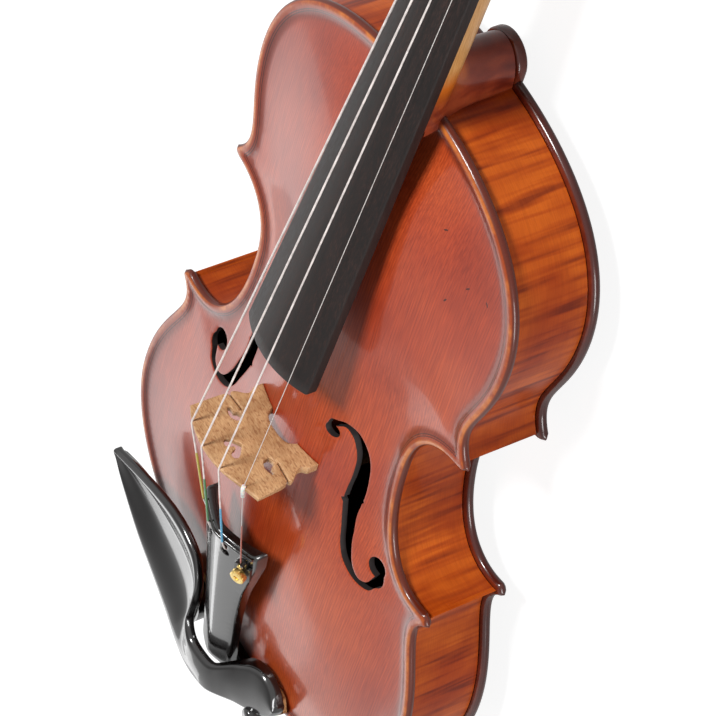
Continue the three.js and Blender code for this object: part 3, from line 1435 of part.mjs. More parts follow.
// Chin rest: sections from its front rim to its back rim, from the tip to the treble foot.
// Each row gives the front rim, the back rim, the rise of the rims and the share of the dish.
const chinRowShares = [
  [[0.003, 0.775], [0.012, 0.73], 0, 0.1],
  [[0.069, 0.83], [0.058, 0.62], 0, 0.5],
  [[0.154, 0.893], [0.131, 0.487], 0, 0.8],
  [[0.254, 0.959], [0.223, 0.339], 0, 1],
  [[0.354, 0.995], [0.315, 0.225], 0, 1],
  [[0.446, 0.98], [0.392, 0.139], 0.05, 1],
  [[0.519, 0.913], [0.454, 0.077], 0.15, 0.95],
  [[0.565, 0.757], [0.5, 0.039], 0.35, 0.8],
  [[0.577, 0.561], [0.542, 0.016], 0.55, 0.5],
  [[0.582, 0.38], [0.585, 0.003], 0.75, 0.25],
  [[0.623, 0.285], [0.631, 0], 0.92, 0.1],
  [[0.692, 0.279], [0.692, 0.003], 1, 0],
  [[0.754, 0.307], [0.769, 0.02], 0.7, 0],
  [[0.8, 0.397], [0.838, 0.044], -0.4, 0],
  [[0.85, 0.487], [0.908, 0.093], -1.25, 0],
  [[0.908, 0.52], [0.962, 0.167], -1.7, 0],
  [[0.962, 0.47], [0.992, 0.266], -1.95, 0],
  [[0.992, 0.389], [1, 0.331], -2.05, 0],
];
const chinBottom = edgeThickness + seatGap + corkThickness + seatGap;
const chinSectionShares = [0.0, 0.05, 0.16, 0.33, 0.5, 0.67, 0.84, 0.95, 1];
function chinRing([front, back, rise, dish], row) {
  const place = ([x, y]) => flat(x * chinLength - chinReach, y * chinDepth - chinSetback);
  const [a, b] = [place(front), place(back)];
  const rim = chinRimHeight + rise * chinBridgeRise;
  const upper = [];
  const lower = [];
  for (const share of chinSectionShares) {
    const p = a.clone().lerp(b, share);
    const edge = Math.min(1, Math.min(share, 1 - share) * 8);
    const bowl = Math.sin(Math.PI * THREE.MathUtils.clamp((share - 0.05) / 0.9, 0, 1)) ** 0.8;
    const top = rim - dish * chinDish * bowl - (1 - edge) * chinRound;
    const shell = rim - dish * chinDish * bowl - chinThickness * mix(0.7, 1, edge);
    const under = row > footRow ? chinBottom : shell;
    upper.push(at(p.x, p.y, top));
    lower.push(at(p.x, p.y, Math.max(under, chinBottom)));
  }
  return [...upper, ...lower.reverse()];
}
const footRow = 12;
const chinShell = solidOf(skin(chinRowShares.map(chinRing)));
const bassFootShares = [
  [0, 0.3], [0.12, 0.12], [0.5, -0.02], [0.95, -0.08], [1, 0.45], [0.75, 0.78], [0.2, 0.75],
];
const footPlan = (pairs, left, width) => pairs.map(([x, y]) => flat(left + x * width, y * footDepth));
const bassFoot = footPlan(bassFootShares, -chinPostOffset - chinBassFootWidth / 2, chinBassFootWidth);
const trebleFootShares = [
  [0, 0.5], [0.12, -0.08], [0.55, 0.02], [0.85, 0.18], [1, 0.5], [0.85, 0.8], [0.3, 0.9],
];
const trebleFoot = footPlan(trebleFootShares, chinPostOffset - chinTrebleFootInset, chinTrebleFootWidth);
const postHole = (side) => solidOf(new THREE.CylinderGeometry(
  postRadius + seatGap,
  postRadius + seatGap,
  2 * (postBury + seatGap),
  12,
).rotateX(Math.PI / 2).translate(side * chinPostOffset, -chinPostSetback, chinBottom));
const lug = (side) => solidOf(new THREE.CylinderGeometry(lugRadius, lugRadius, chinThickness + postBury, 14)
  .rotateX(Math.PI / 2)
  .translate(side * chinPostOffset, -chinPostSetback, chinBottom + (chinThickness + postBury) / 2));
const bassBoss = prism(bassFoot, () => chinRimHeight - chinDish / 2, () => chinBottom);
const chinRest = chinShell
  .add(solidOf(bassBoss))
  .add(lug(1))
  .add(lug(-1))
  .subtract(postHole(1))
  .subtract(postHole(-1));
add('chinrest', chinRest, finish.ebony);
const padTopHeight = edgeThickness + seatGap + corkThickness;
const padFor = (plan, side) => solidOf(prism(plan, () => padTopHeight, () => edgeThickness + seatGap))
  .subtract(postHole(side));
add('chinrest_cork_bass', padFor(bassFoot, -1), finish.cork);
add('chinrest_cork_treble', padFor(trebleFoot, 1), finish.cork);

// Clamp: two threaded posts, two barrels and one foot with its own pair of posts
const backUnder = backPlane(0, 0) - edgeThickness;
const padTop = backUnder - seatGap;
const footTop = padTop - clampPadThickness - seatGap;
const barrelFoot = -barrelDrop - barrelLength;
const threadEnd = -barrelDrop - (barrelLength - barrelGap) / 2;
const lowerThreadEnd = threadEnd - barrelGap;
const postAt = (side, low, high, radius, segments) => new THREE.CylinderGeometry(
  radius,
  radius,
  high - low,
  segments,
).rotateX(Math.PI / 2).translate(side * chinPostOffset, -chinPostSetback, (low + high) / 2);
const clampPlan = (pairs) => pairs.map(([x, y]) => (
  flat(x * (chinPostOffset + lugRadius), y * clampFootReach - chinPostSetback)
));
const footPlate = prism(clampPlan(clampFootShares), () => footTop, () => footTop - clampFootThickness);
let clampFoot = solidOf(footPlate);
for (const [side, name] of [[1, 'treble'], [-1, 'bass']]) {
  add(`clamp_post_${name}`, postAt(side, threadEnd, chinBottom + postBury, postRadius, 12), finish.gilt);
  const barrel = solidOf(postAt(side, barrelFoot, -barrelDrop, barrelRadius, 16))
    .subtract(solidOf(postAt(side, barrelFoot - overrun, overrun, postRadius + seatGap, 12)));
  add(`clamp_barrel_${name}`, barrel, finish.gilt);
  const footPost = postAt(side, footTop - clampFootThickness, lowerThreadEnd, postRadius, 12);
  clampFoot = clampFoot.add(solidOf(footPost));
}
add('clamp_foot', clampFoot, finish.gilt);
const clampPad = prism(clampPlan(clampPadShares), () => padTop, () => padTop - clampPadThickness);
add('clamp_foot_cork', clampPad, finish.cork);

// The violin rests on its back arch and on the back of the scroll.
const backLowY = bodyLength / 2;
const tilt = Math.atan((ribDepth(backLowY) + backArch - scrollDrop - scrollRadius) / (eyeY - backLowY));
violin.rotation.x = -tilt;
violin.updateMatrixWorld(true);
const reach = new THREE.Box3().setFromObject(violin, true);
const middle = reach.getCenter(at(0, 0, 0));
const stand = new THREE.Group();
stand.add(violin);
violin.position.set(-middle.x, -middle.y, -reach.min.z);

export default stand;
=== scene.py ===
# A full-size violin lying on its back, seen close up from beyond its treble shoulder.
# Pieces are drawn in millimetres in the violin's own frame: tail edge at y = 0, gluing plane
# of the top at z = 0, x to the treble side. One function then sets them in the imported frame.
import math

import bmesh
import bpy
import numpy as np
from mathutils import Matrix, Vector
from mathutils.geometry import delaunay_2d_cdt


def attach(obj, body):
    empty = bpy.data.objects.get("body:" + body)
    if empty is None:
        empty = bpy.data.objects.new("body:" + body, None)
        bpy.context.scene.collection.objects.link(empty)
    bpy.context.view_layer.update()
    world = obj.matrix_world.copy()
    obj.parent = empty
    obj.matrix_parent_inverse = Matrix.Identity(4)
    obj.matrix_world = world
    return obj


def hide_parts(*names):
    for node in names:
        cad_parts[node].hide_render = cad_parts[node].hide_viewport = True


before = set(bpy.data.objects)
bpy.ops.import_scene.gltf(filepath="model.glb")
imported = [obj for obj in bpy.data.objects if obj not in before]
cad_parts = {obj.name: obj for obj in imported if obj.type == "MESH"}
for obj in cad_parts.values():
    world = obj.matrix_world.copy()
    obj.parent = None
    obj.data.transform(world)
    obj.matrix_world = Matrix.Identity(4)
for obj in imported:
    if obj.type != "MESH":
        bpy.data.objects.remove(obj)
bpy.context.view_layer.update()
mm = 0.001

# How the CAD lays the violin down: on its back arch and the back of its scroll
rest = {"tilt": 0.00951153637422011, "shiftY": -292.7478999505002, "shiftZ": 47.4835460970509}


def inFrame(points):
    points = np.asarray(points, float)
    c, s = math.cos(rest["tilt"]), math.sin(rest["tilt"])
    x, y, z = points[..., 0], points[..., 1], points[..., 2]
    return np.stack([x, y * c + z * s + rest["shiftY"], z * c - y * s + rest["shiftZ"]], -1) * mm


def turned(direction):
    c, s = math.cos(rest["tilt"]), math.sin(rest["tilt"])
    x, y, z = direction
    return Vector((x, y * c + z * s, z * c - y * s))


# Camera: solved from the outline, the sound holes and the bridge
camera = {
    "place": (540.42, 1148.16, 558.97),  # mm, in the violin's frame
    "right": (0.51573, 0.20556, -0.83173),
    "down": (0.73649, -0.60236, 0.3078),
    "focalPixels": 3254.46,
    "imagePixels": 716,
    "sensor": 36.0,
}


def makeCamera():
    data = bpy.data.cameras.new("photoCamera")
    data.sensor_width = camera["sensor"]
    data.sensor_fit = "HORIZONTAL"
    data.lens = camera["focalPixels"] * camera["sensor"] / camera["imagePixels"]
    data.clip_start = 0.05
    data.clip_end = 50
    obj = bpy.data.objects.new("photoCamera", data)
    right = turned(camera["right"]).normalized()
    up = -turned(camera["down"]).normalized()
    back = right.cross(up).normalized()
    turn = Matrix((right, up, back)).transposed().to_4x4()
    obj.matrix_world = Matrix.Translation(Vector(inFrame(camera["place"]))) @ turn
    bpy.context.scene.collection.objects.link(obj)
    bpy.context.scene.camera = obj


makeCamera()
print("camera placed")

# Materials


def linear(hexColour):
    parts = [int(hexColour[i : i + 2], 16) / 255 for i in (1, 3, 5)]
    return [p / 12.92 if p <= 0.04045 else ((p + 0.055) / 1.055) ** 2.4 for p in parts] + [1]


def addNode(tree, kind, settings=None, inputs=None):
    node = tree.nodes.new(kind)
    for key, value in (settings or {}).items():
        setattr(node, key, value)
    for key, value in (inputs or {}).items():
        if isinstance(value, bpy.types.NodeSocket):
            tree.links.new(value, node.inputs[key])
        else:
            node.inputs[key].default_value = value
    return node


def newMaterial(name, shader):
    material = bpy.data.materials.new(name)
    material.use_nodes = True
    tree = material.node_tree
    tree.nodes.clear()
    out = addNode(tree, "ShaderNodeOutputMaterial")
    bsdf = addNode(tree, "ShaderNodeBsdfPrincipled", inputs=shader)
    tree.links.new(bsdf.outputs[0], out.inputs[0])
    return material, tree, bsdf


def ramp(tree, factor, stops):
    node = addNode(tree, "ShaderNodeValToRGB", inputs={0: factor})
    elements = node.color_ramp.elements
    while len(elements) < len(stops):
        elements.new(0.5)
    for element, (place, colour) in zip(elements, stops):
        element.position = place
        element.color = linear(colour) if isinstance(colour, str) else [colour, colour, colour, 1]
    return node.outputs[0]


def blended(tree, mode, factor, a, b):
    node = addNode(
        tree, "ShaderNodeMix", {"data_type": "RGBA", "blend_type": mode}, {0: factor, 6: a, 7: b}
    )
    return node.outputs[2]


def arithmetic(tree, operation, a, b=0.0):
    return addNode(tree, "ShaderNodeMath", {"operation": operation}, {0: a, 1: b}).outputs[0]


def stretchedPlace(tree, scale=(1, 1, 1)):
    place = addNode(tree, "ShaderNodeTexCoord").outputs["Object"]
    return addNode(tree, "ShaderNodeMapping", inputs={"Vector": place, "Scale": scale}).outputs[0]


def noiseAt(tree, place, sizeMm, detail=2.0, roughness=0.5, distortion=0.0):
    return addNode(tree, "ShaderNodeTexNoise", inputs={
        "Vector": place, "Scale": 1 / (sizeMm * mm), "Detail": detail, "Roughness": roughness,
        "Distortion": distortion,
    }).outputs[0]


def bump(tree, bsdf, height, strength, depthMm):
    node = addNode(tree, "ShaderNodeBump", inputs={
        "Height": height, "Strength": strength, "Distance": depthMm * mm,
    })
    tree.links.new(node.outputs[0], bsdf.inputs["Normal"])


def toned(tree, mask, share, under, hexColour):
    # Lays one flat tone over a colour where the mask is
    return blended(tree, "MIX", arithmetic(tree, "MULTIPLY", mask, share), under, linear(hexColour))


def varyGloss(tree, bsdf, pattern, low, high):
    # Roughness that follows a pattern between two values
    rough = addNode(tree, "ShaderNodeMapRange", inputs={
        "Value": pattern, "From Min": 0.3, "From Max": 0.7, "To Min": low, "To Max": high,
    })
    tree.links.new(rough.outputs[0], bsdf.inputs["Roughness"])


def waveScale(pitchMm):
    # A wave texture repeats every 2 pi / 20 of its scaled length
    return 2 * math.pi / (20 * pitchMm * mm)


def attribute(tree, name):
    return addNode(tree, "ShaderNodeAttribute", {"attribute_name": name}).outputs["Fac"]


# Spirit varnish, rubbed thin at the edges: red-brown film, clear gloss over the wood's grain
varnish = {
    "grain": 1.15,  # mm between the spruce's year lines
    "film": "#ad401e",
    "filmDark": "#8c2a13",
    "filmLight": "#c15428",
    "line": "#5a1c10",
    "nick": "#200b08",
    "nicks": [(36.3, 322.0), (54.2, 309.8), (47.6, 296.8), (63.7, 311.5)],
    "nickSize": (0.42, 1.3),  # mm across and along the grain
    "purfling": "#1d0f0c",
    "purflingAt": 4.3,  # mm in from the edge
    "purflingWidth": 1.2,
    "purflingLine": 0.2,  # half of each dark strip
}


def bandAround(tree, value, centre, half, soft):
    away = arithmetic(tree, "ABSOLUTE", arithmetic(tree, "SUBTRACT", value, centre))
    scaled = arithmetic(tree, "SUBTRACT", arithmetic(tree, "DIVIDE", away, soft), half / soft)
    return arithmetic(tree, "SUBTRACT", 1.0, addNode(
        tree, "ShaderNodeClamp", inputs={"Value": scaled}
    ).outputs[0])


# Tones from the rim inwards; the back's edge keeps its dark film, the top's is rubbed to the wood; the
# channel tone is painted shade and the side tone a painted shadow under the edge
edgeTones = {
    "top": {
        "side": "#3f130b", "crest": "#93421d", "worn": "#c77534", "wear": 0.75, "channelShade": "#4a130c",
    },
    "back": {
        "side": "#3a100a", "crest": "#541a0d", "worn": "#7c3216", "wear": 0.35, "channelShade": "#2c0c08",
    },
}
# Each band: mm in from the edge, half its width, and its soft border
edgeBands = {
    # The channel band is painted shade in the hollow inside the edge
    "channelShade": (5.4, 0.5, 2.6),
    "crest": (1.7, 1.0, 1.0),
    "worn": (1.6, 0.5, 0.8),
    # The side band is a painted shadow under the overhanging edge
    "side": (0.0, 0.5, 0.45),
}


def edgeMarks(tree, colour, tones):
    # A worn crest, the purfling, painted shade in the channel's hollow and a painted shadow along the outer
    # side follow the distance from the plate's edge
    d = attribute(tree, "edgeDistance")
    band = {name: bandAround(tree, d, *row) for name, row in edgeBands.items()}
    patchy = noiseAt(tree, stretchedPlace(tree), 11, 4, 0.65)
    # Painted shade: the channel's hollow darkened
    colour = toned(tree, band["channelShade"], 0.55, colour, tones["channelShade"])
    colour = toned(tree, band["crest"], 0.75, colour, tones["crest"])
    rubbed = arithmetic(tree, "MULTIPLY", band["worn"], ramp(tree, patchy, [(0.42, 0.0), (0.6, 1.0)]))
    colour = toned(tree, rubbed, tones["wear"], colour, tones["worn"])
    half = varnish["purflingWidth"] / 2 - varnish["purflingLine"]
    for centre in (varnish["purflingAt"] - half, varnish["purflingAt"] + half):
        line = bandAround(tree, d, centre, 0.12, 0.16)
        colour = toned(tree, line, 0.7, colour, varnish["purfling"])
    # Painted shadow: a dark band along the outer side, under the overhanging edge
    return toned(tree, band["side"], 0.8, colour, tones["side"])


def makeSpruce():
    material, tree, bsdf = newMaterial("varnishedSpruce", {
        "Roughness": 0.34, "IOR": 1.5, "Specular IOR Level": 0.2, "Coat Weight": 0.34, "Coat Roughness": 0.1,
    })
    place = stretchedPlace(tree)
    waver = noiseAt(tree, stretchedPlace(tree, (1, 0.08, 1)), 9, 2, 0.5)
    bent = addNode(tree, "ShaderNodeVectorMath", {"operation": "MULTIPLY_ADD"}, {
        0: addNode(tree, "ShaderNodeCombineXYZ", inputs={"X": waver}).outputs[0],
        1: (2.6 * mm, 0, 0),
        2: place,
    }).outputs[0]
    lines = addNode(tree, "ShaderNodeTexWave", {"bands_direction": "X", "wave_profile": "SAW"}, {
        "Vector": bent, "Scale": waveScale(varnish["grain"]), "Distortion": 0.0,
    }).outputs["Fac"]
    year = ramp(tree, lines, [(0.0, 0.0), (0.55, 0.1), (0.86, 1.0), (0.97, 0.85), (1.0, 0.0)])
    broken = noiseAt(tree, stretchedPlace(tree, (1, 0.05, 1)), 2.6, 3, 0.6)
    year = arithmetic(tree, "MULTIPLY", year, ramp(tree, broken, [(0.25, 0.35), (0.7, 1.0)]))
    clouds = noiseAt(tree, place, 70, 3, 0.5)
    film = ramp(tree, clouds, [
        (0.3, varnish["filmDark"]), (0.5, varnish["film"]), (0.72, varnish["filmLight"]),
    ])
    fibre = noiseAt(tree, stretchedPlace(tree, (1, 0.03, 1)), 0.5, 2, 0.6)
    film = blended(tree, "MULTIPLY", 0.6, film, ramp(tree, fibre, [(0.32, "#b89a8c"), (0.68, "#ffffff")]))
    colour = toned(tree, year, 0.42, film, varnish["line"])
    # A few small dents in the film, dark where dirt sits in them
    nick = None
    wide, long = varnish["nickSize"]
    for x, y in varnish["nicks"]:
        centre = inFrame((x, y, 0))
        away = addNode(tree, "ShaderNodeMapping", {"vector_type": "TEXTURE"}, {
            "Vector": place, "Location": (centre[0], centre[1], 0), "Scale": (wide * mm, long * mm, 1),
            "Rotation": (0, 0, math.sin(x) * 0.9),
        }).outputs[0]
        length = addNode(tree, "ShaderNodeVectorMath", {"operation": "LENGTH"}, {0: away}).outputs[1]
        spot = ramp(tree, length, [(0.0, 1.0), (0.7, 1.0), (1.0, 0.0)])
        nick = spot if nick is None else arithmetic(tree, "MAXIMUM", nick, spot)
    colour = toned(tree, nick, 0.85, colour, varnish["nick"])
    colour = edgeMarks(tree, colour, edgeTones["top"])
    tree.links.new(colour, bsdf.inputs["Base Color"])
    hair = noiseAt(tree, place, 3.0, 4, 0.65)
    ridges, hairs = (arithmetic(tree, "MULTIPLY", pattern, 0.5) for pattern in (year, hair))
    height = arithmetic(tree, "ADD", ridges, hairs)
    height = arithmetic(tree, "SUBTRACT", height, arithmetic(tree, "MULTIPLY", nick, 2.0))
    bump(tree, bsdf, height, 0.35, 0.05)
    return material


# Maple under the same varnish: the flame is a cross grain that darkens and lightens by turns
flames = {
    "rib": {
        "light": "#c9601a", "mid": "#b04b13", "dark": "#80300f", "across": 2.6, "gloss": 0.36,
        "shine": 0.12, "coat": 0.1, "stops": (0.3, 0.44, 0.6), "cloud": "#b86547", "spread": (1, 0.07, 1),
    },
    "back": {
        "light": "#6f2612", "mid": "#54190c", "dark": "#3a100a", "across": 4.5, "gloss": 0.25,
        "shine": 0.3, "coat": 0.35, "stops": (0.36, 0.5, 0.62), "cloud": "#a8695a", "spread": (1, 0.08, 1),
    },
    "neck": {
        "light": "#9c4727", "mid": "#84341d", "dark": "#6a2516", "across": 3.4, "gloss": 0.28,
        "shine": 0.25, "coat": 0.3, "stops": (0.34, 0.5, 0.66), "cloud": "#c08a78", "spread": (1, 0.14, 0.3),
    },
}
# Bare oiled maple where the hand slides
handle = {"light": "#d6a164", "dark": "#bf8748", "fade": "#c4661a"}


def makeFlamedMaple(name, tone, edge=None, bare=False):
    material, tree, bsdf = newMaterial(name, {
        "Roughness": tone["gloss"], "IOR": 1.5, "Specular IOR Level": tone["shine"],
        "Coat Weight": tone["coat"], "Coat Roughness": 0.08,
    })
    run = addNode(tree, "ShaderNodeAttribute", {"attribute_name": "run"}).outputs["Vector"]

    def alongRun(scale):
        return addNode(tree, "ShaderNodeMapping", inputs={"Vector": run, "Scale": scale}).outputs[0]

    # Bands lie across the strip, uneven in width and strength, and lean a little
    bands = noiseAt(tree, alongRun(tone["spread"]), tone["across"], 1.2, 0.5, 0.2)
    low, middle, high = tone["stops"]
    colour = ramp(tree, bands, [(low, tone["dark"]), (middle, tone["mid"]), (high, tone["light"])])
    fade = noiseAt(tree, run, 16, 2, 0.5)
    colour = blended(tree, "MIX", ramp(tree, fade, [(0.4, 0.6), (0.6, 0.1)]), colour, linear(tone["mid"]))
    pores = noiseAt(tree, alongRun((0.06, 1, 1)), 0.42, 2, 0.5)
    colour = blended(tree, "MULTIPLY", 0.16, colour, ramp(tree, pores, [(0.35, "#93705a"), (0.6, "#ffffff")]))
    clouds = noiseAt(tree, run, 42, 3, 0.55)
    shade = ramp(tree, clouds, [(0.38, tone["cloud"]), (0.58, "#ffffff")])
    colour = blended(tree, "MULTIPLY", 0.6, colour, shade)
    if edge:
        colour = edgeMarks(tree, colour, edge)
    if bare:
        film = attribute(tree, "film")
        oiled = ramp(tree, pores, [(0.3, handle["dark"]), (0.65, handle["light"])])
        nearFilm = ramp(tree, film, [(0.0, 0.0), (0.5, 1.0)])
        oiled = blended(tree, "MIX", nearFilm, oiled, linear(handle["fade"]))
        colour = blended(tree, "MIX", ramp(tree, film, [(0.5, 0.0), (1.0, 1.0)]), oiled, colour)
    tree.links.new(colour, bsdf.inputs["Base Color"])
    bump(tree, bsdf, pores, 0.15, 0.03)
    return material


ribMaple = makeFlamedMaple("varnishedRibMaple", flames["rib"])
backMaple = makeFlamedMaple("varnishedBackMaple", flames["back"], edge=edgeTones["back"])
neckMaple = makeFlamedMaple("varnishedNeckMaple", flames["neck"], bare=True)
spruceTop = makeSpruce()
print("varnished woods made")

# Bare woods: spruce inside, and the maple of the bridge
def makeWood(name, tone, size, runs, gloss, fleck=None):
    material, tree, bsdf = newMaterial(name, {"Roughness": gloss, "IOR": 1.5})
    fibre = noiseAt(tree, stretchedPlace(tree, runs), size, 4, 0.6)
    clouds = noiseAt(tree, stretchedPlace(tree), size * 22, 2, 0.5)
    colour = ramp(tree, fibre, [(0.3, tone["dark"]), (0.5, tone["mid"]), (0.7, tone["light"])])
    colour = blended(tree, "MULTIPLY", 0.5, colour, ramp(tree, clouds, [(0.35, "#b9a58e"), (0.6, "#ffffff")]))
    if fleck:
        # Short dark rays, as in quarter-cut maple
        spots = noiseAt(tree, stretchedPlace(tree, fleck["runs"]), fleck["size"], 2, 0.5)
        mask = ramp(tree, spots, [(fleck["from"], 0.0), (fleck["to"], 1.0)])
        colour = toned(tree, mask, fleck["depth"], colour, fleck["tone"])
    tree.links.new(colour, bsdf.inputs["Base Color"])
    bump(tree, bsdf, fibre, 0.3, 0.05)
    return material


# Quarter-cut spruce, pale and dull: shows through the sound holes
bareSpruce = makeWood(
    "bareSpruce", {"dark": "#5e462a", "mid": "#7c5f3a", "light": "#98784e"}, 1.1, (1, 0.03, 1), 0.6
)
# Bridge maple: tan and dry, full of short dark rays
bridgeMaple = makeWood(
    "bridgeMaple", {"dark": "#b08157", "mid": "#c2976a", "light": "#d4b083"}, 0.42, (0.14, 1, 1), 0.5,
    fleck={"runs": (0.42, 1, 1), "size": 0.72, "from": 0.55, "to": 0.64, "depth": 0.6, "tone": "#84512d"},
)


# Ebony: the board only oiled, with fine pale pores along it; the fittings polished to a deep gloss
def makeEbony(name, tone, gloss, coat, poreShare, depthMm, level=0.5):
    material, tree, bsdf = newMaterial(name, {
        "IOR": 1.5, "Coat Weight": coat, "Coat Roughness": 0.04, "Specular IOR Level": level,
    })
    pores = noiseAt(tree, stretchedPlace(tree, (1, 0.035, 1)), 0.42, 3, 0.62)
    broad = noiseAt(tree, stretchedPlace(tree, (1, 0.12, 1)), 5, 2, 0.5)
    colour = ramp(tree, pores, [(0.32, tone["pore"]), (0.5, tone["wood"]), (0.72, tone["streak"])])
    colour = blended(tree, "MULTIPLY", 0.7, colour, ramp(tree, broad, [(0.3, "#8a8380"), (0.65, "#ffffff")]))
    tree.links.new(colour, bsdf.inputs["Base Color"])
    varyGloss(tree, bsdf, pores, gloss, gloss * (1 + poreShare))
    bump(tree, bsdf, pores, 0.3, depthMm)
    return material


oiledEbony = makeEbony(
    "oiledEbony", {"pore": "#100907", "wood": "#190f0d", "streak": "#33211c"}, 0.42, 0.0, 0.35, 0.05, 0.26
)
polishedEbony = makeEbony(
    "polishedEbony", {"pore": "#0b0908", "wood": "#0e0b0b", "streak": "#140f0f"}, 0.16, 0.75, 0.2, 0.0015, 0.5
)


# Metals: bright gold plate with dull wear, glossy black lacquer on the tuner's steel, pale strings
def makeMetal(name, tone, gloss, metallic, wearMm, grip=None, coat=0.0):
    material, tree, bsdf = newMaterial(name, {"Metallic": metallic, "Coat Weight": coat})
    place = stretchedPlace(tree)
    wear = noiseAt(tree, place, wearMm, 4, 0.6)
    colour = ramp(tree, wear, [(0.3, tone["dull"]), (0.6, tone["bright"])])
    tree.links.new(colour, bsdf.inputs["Base Color"])
    varyGloss(tree, bsdf, wear, gloss, gloss * 1.7)
    if grip:
        # Screw threads: fine rings one pitch apart
        rings = addNode(tree, "ShaderNodeTexWave", {"bands_direction": grip["axis"]}, {
            "Vector": place, "Scale": waveScale(grip["pitch"]),
        }).outputs["Fac"]
        bump(tree, bsdf, rings, grip["strength"], grip["depth"])
    return material


goldPlate = makeMetal("goldPlate", {"dull": "#dcb45c", "bright": "#f8dd94"}, 0.2, 1.0, 2.5)
goldThread = makeMetal(
    "goldThread", {"dull": "#b98830", "bright": "#e3bd62"}, 0.22, 1.0, 2.5,
    grip={"axis": "Z", "pitch": 0.6, "depth": 0.12, "strength": 0.8},
)
blackSteel = makeMetal("lacqueredSteel", {"dull": "#0a0a0a", "bright": "#151515"}, 0.3, 0.0, 2.0, coat=0.4)
# Plain steel: a hair-thin bright line
plainSteel = makeMetal("plainSteelString", {"dull": "#c4beba", "bright": "#ded8d4"}, 0.3, 1.0, 1.5)
# Flat silver ribbon wound over a core: a soft, nearly white line
woundSilver = makeMetal("woundSilverString", {"dull": "#cfc6c2", "bright": "#e2dad6"}, 0.42, 1.0, 3.0)


# Silk thread wrapped over the string's tail end, one colour for each string
def makeSilk(name, hexColour):
    material, tree, bsdf = newMaterial(name, {"Roughness": 0.5, "Sheen Weight": 0.3})
    turns = addNode(tree, "ShaderNodeTexWave", {"bands_direction": "Y"}, {
        "Vector": stretchedPlace(tree), "Scale": waveScale(0.22),
    }).outputs["Fac"]
    # Painted shade: darker between the turns of thread, where the grooves lie
    dark = [c * 0.45 for c in linear(hexColour)[:3]] + [1]
    colour = blended(tree, "MIX", turns, dark, linear(hexColour))
    tree.links.new(colour, bsdf.inputs["Base Color"])
    bump(tree, bsdf, turns, 0.5, 0.03)
    return material


silks = [
    makeSilk("yellowSilk", "#d8c63a"), makeSilk("greenSilk", "#3f8f4e"),
    makeSilk("blueSilk", "#46b4e2"), makeSilk("redSilk", "#b9573f"),
]


# Cork: warm tan grains with darker pits
def makeCork():
    material, tree, bsdf = newMaterial("cork", {"Roughness": 0.85})
    place = stretchedPlace(tree)
    grains = addNode(tree, "ShaderNodeTexVoronoi", {"feature": "F1"}, {
        "Vector": place, "Scale": 1 / (1.6 * mm),
    })
    pits = noiseAt(tree, place, 0.7, 3, 0.6)
    colour = ramp(tree, grains.outputs["Distance"], [(0.0, "#c79a66"), (0.5, "#b1804d"), (0.8, "#8a5d35")])
    colour = blended(tree, "MIX", ramp(tree, pits, [(0.6, 0.0), (0.68, 0.8)]), colour, linear("#5b3a20"))
    tree.links.new(colour, bsdf.inputs["Base Color"])
    bump(tree, bsdf, pits, 0.5, 0.15)
    return material


corkMaterial = makeCork()


# Extruded plastics: the black tailgut and the clear white sleeve under the thinnest string
def makePlastic(name, tone, gloss, through=0.0):
    material, tree, bsdf = newMaterial(name, {
        "IOR": 1.49, "Roughness": gloss, "Subsurface Weight": through, "Subsurface Scale": 0.4 * mm,
    })
    marks = noiseAt(tree, stretchedPlace(tree), 1.2, 3, 0.5)
    tree.links.new(ramp(tree, marks, [(0.3, tone[0]), (0.7, tone[1])]), bsdf.inputs["Base Color"])
    bump(tree, bsdf, marks, 0.2, 0.01)
    return material


# The cut walls of the sound holes: brushed with a dull dark stain
holeStain = makePlastic("stainedHoleWall", ("#0d0504", "#180807"), 0.8)
gutPlastic = makePlastic("tailgutNylon", ("#101010", "#1a1a1a"), 0.3)
sleevePlastic = makePlastic("sleevePlastic", ("#e4e4e0", "#f4f4f0"), 0.3, 0.4)
print("plain woods, ebony, metals and cork made")

# Mesh helpers


def makePiece(name, points, faces, material, body="violin", stands=(), angle=35, marks=None):
    mesh = bpy.data.meshes.new(name)
    mesh.from_pydata([tuple(p) for p in inFrame(points)], [], [tuple(int(i) for i in f) for f in faces])
    for key, values in (marks or {}).items():
        values = np.asarray(values, np.float32)
        kind = "FLOAT" if values.ndim == 1 else "FLOAT_VECTOR"
        layer = mesh.attributes.new(key, kind, "POINT")
        layer.data.foreach_set("value" if values.ndim == 1 else "vector", values.ravel())
    mesh.validate()
    bm = bmesh.new()
    bm.from_mesh(mesh)
    bmesh.ops.recalc_face_normals(bm, faces=bm.faces)
    bm.to_mesh(mesh)
    bm.free()
    mesh.shade_smooth()
    mesh.set_sharp_from_angle(angle=math.radians(angle))
    mesh.materials.append(material)
    obj = bpy.data.objects.new(name, mesh)
    bpy.context.scene.collection.objects.link(obj)
    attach(obj, body)
    if stands:
        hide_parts(*stands)
    return obj


def loft(rings, caps=True):
    # Closed rings of equal length, joined in order; returns points and faces
    rings = [np.asarray(r, float) for r in rings]
    size = len(rings[0])
    faces = []
    for r in range(len(rings) - 1):
        for i in range(size):
            j = (i + 1) % size
            faces.append((r * size + i, r * size + j, (r + 1) * size + j, (r + 1) * size + i))
    if caps:
        faces.append(tuple(range(size))[::-1])
        faces.append(tuple(range((len(rings) - 1) * size, len(rings) * size)))
    return np.concatenate(rings), faces


def joined(parts):
    points, faces, count = [], [], 0
    for p, f in parts:
        points.append(np.asarray(p, float))
        faces += [tuple(i + count for i in face) for face in f]
        count += len(p)
    return np.concatenate(points), faces


def aroundCircle(count):
    return np.arange(count) * 2 * math.pi / count


def roundedDrop(away, radius):
    # How far a quarter-round edge falls, at a distance in from that edge
    inward = np.clip(radius - away, 0, radius)
    return radius - np.sqrt(np.maximum(radius**2 - inward**2, 0))


def sCurve(share):
    return share * share * (3 - 2 * share)


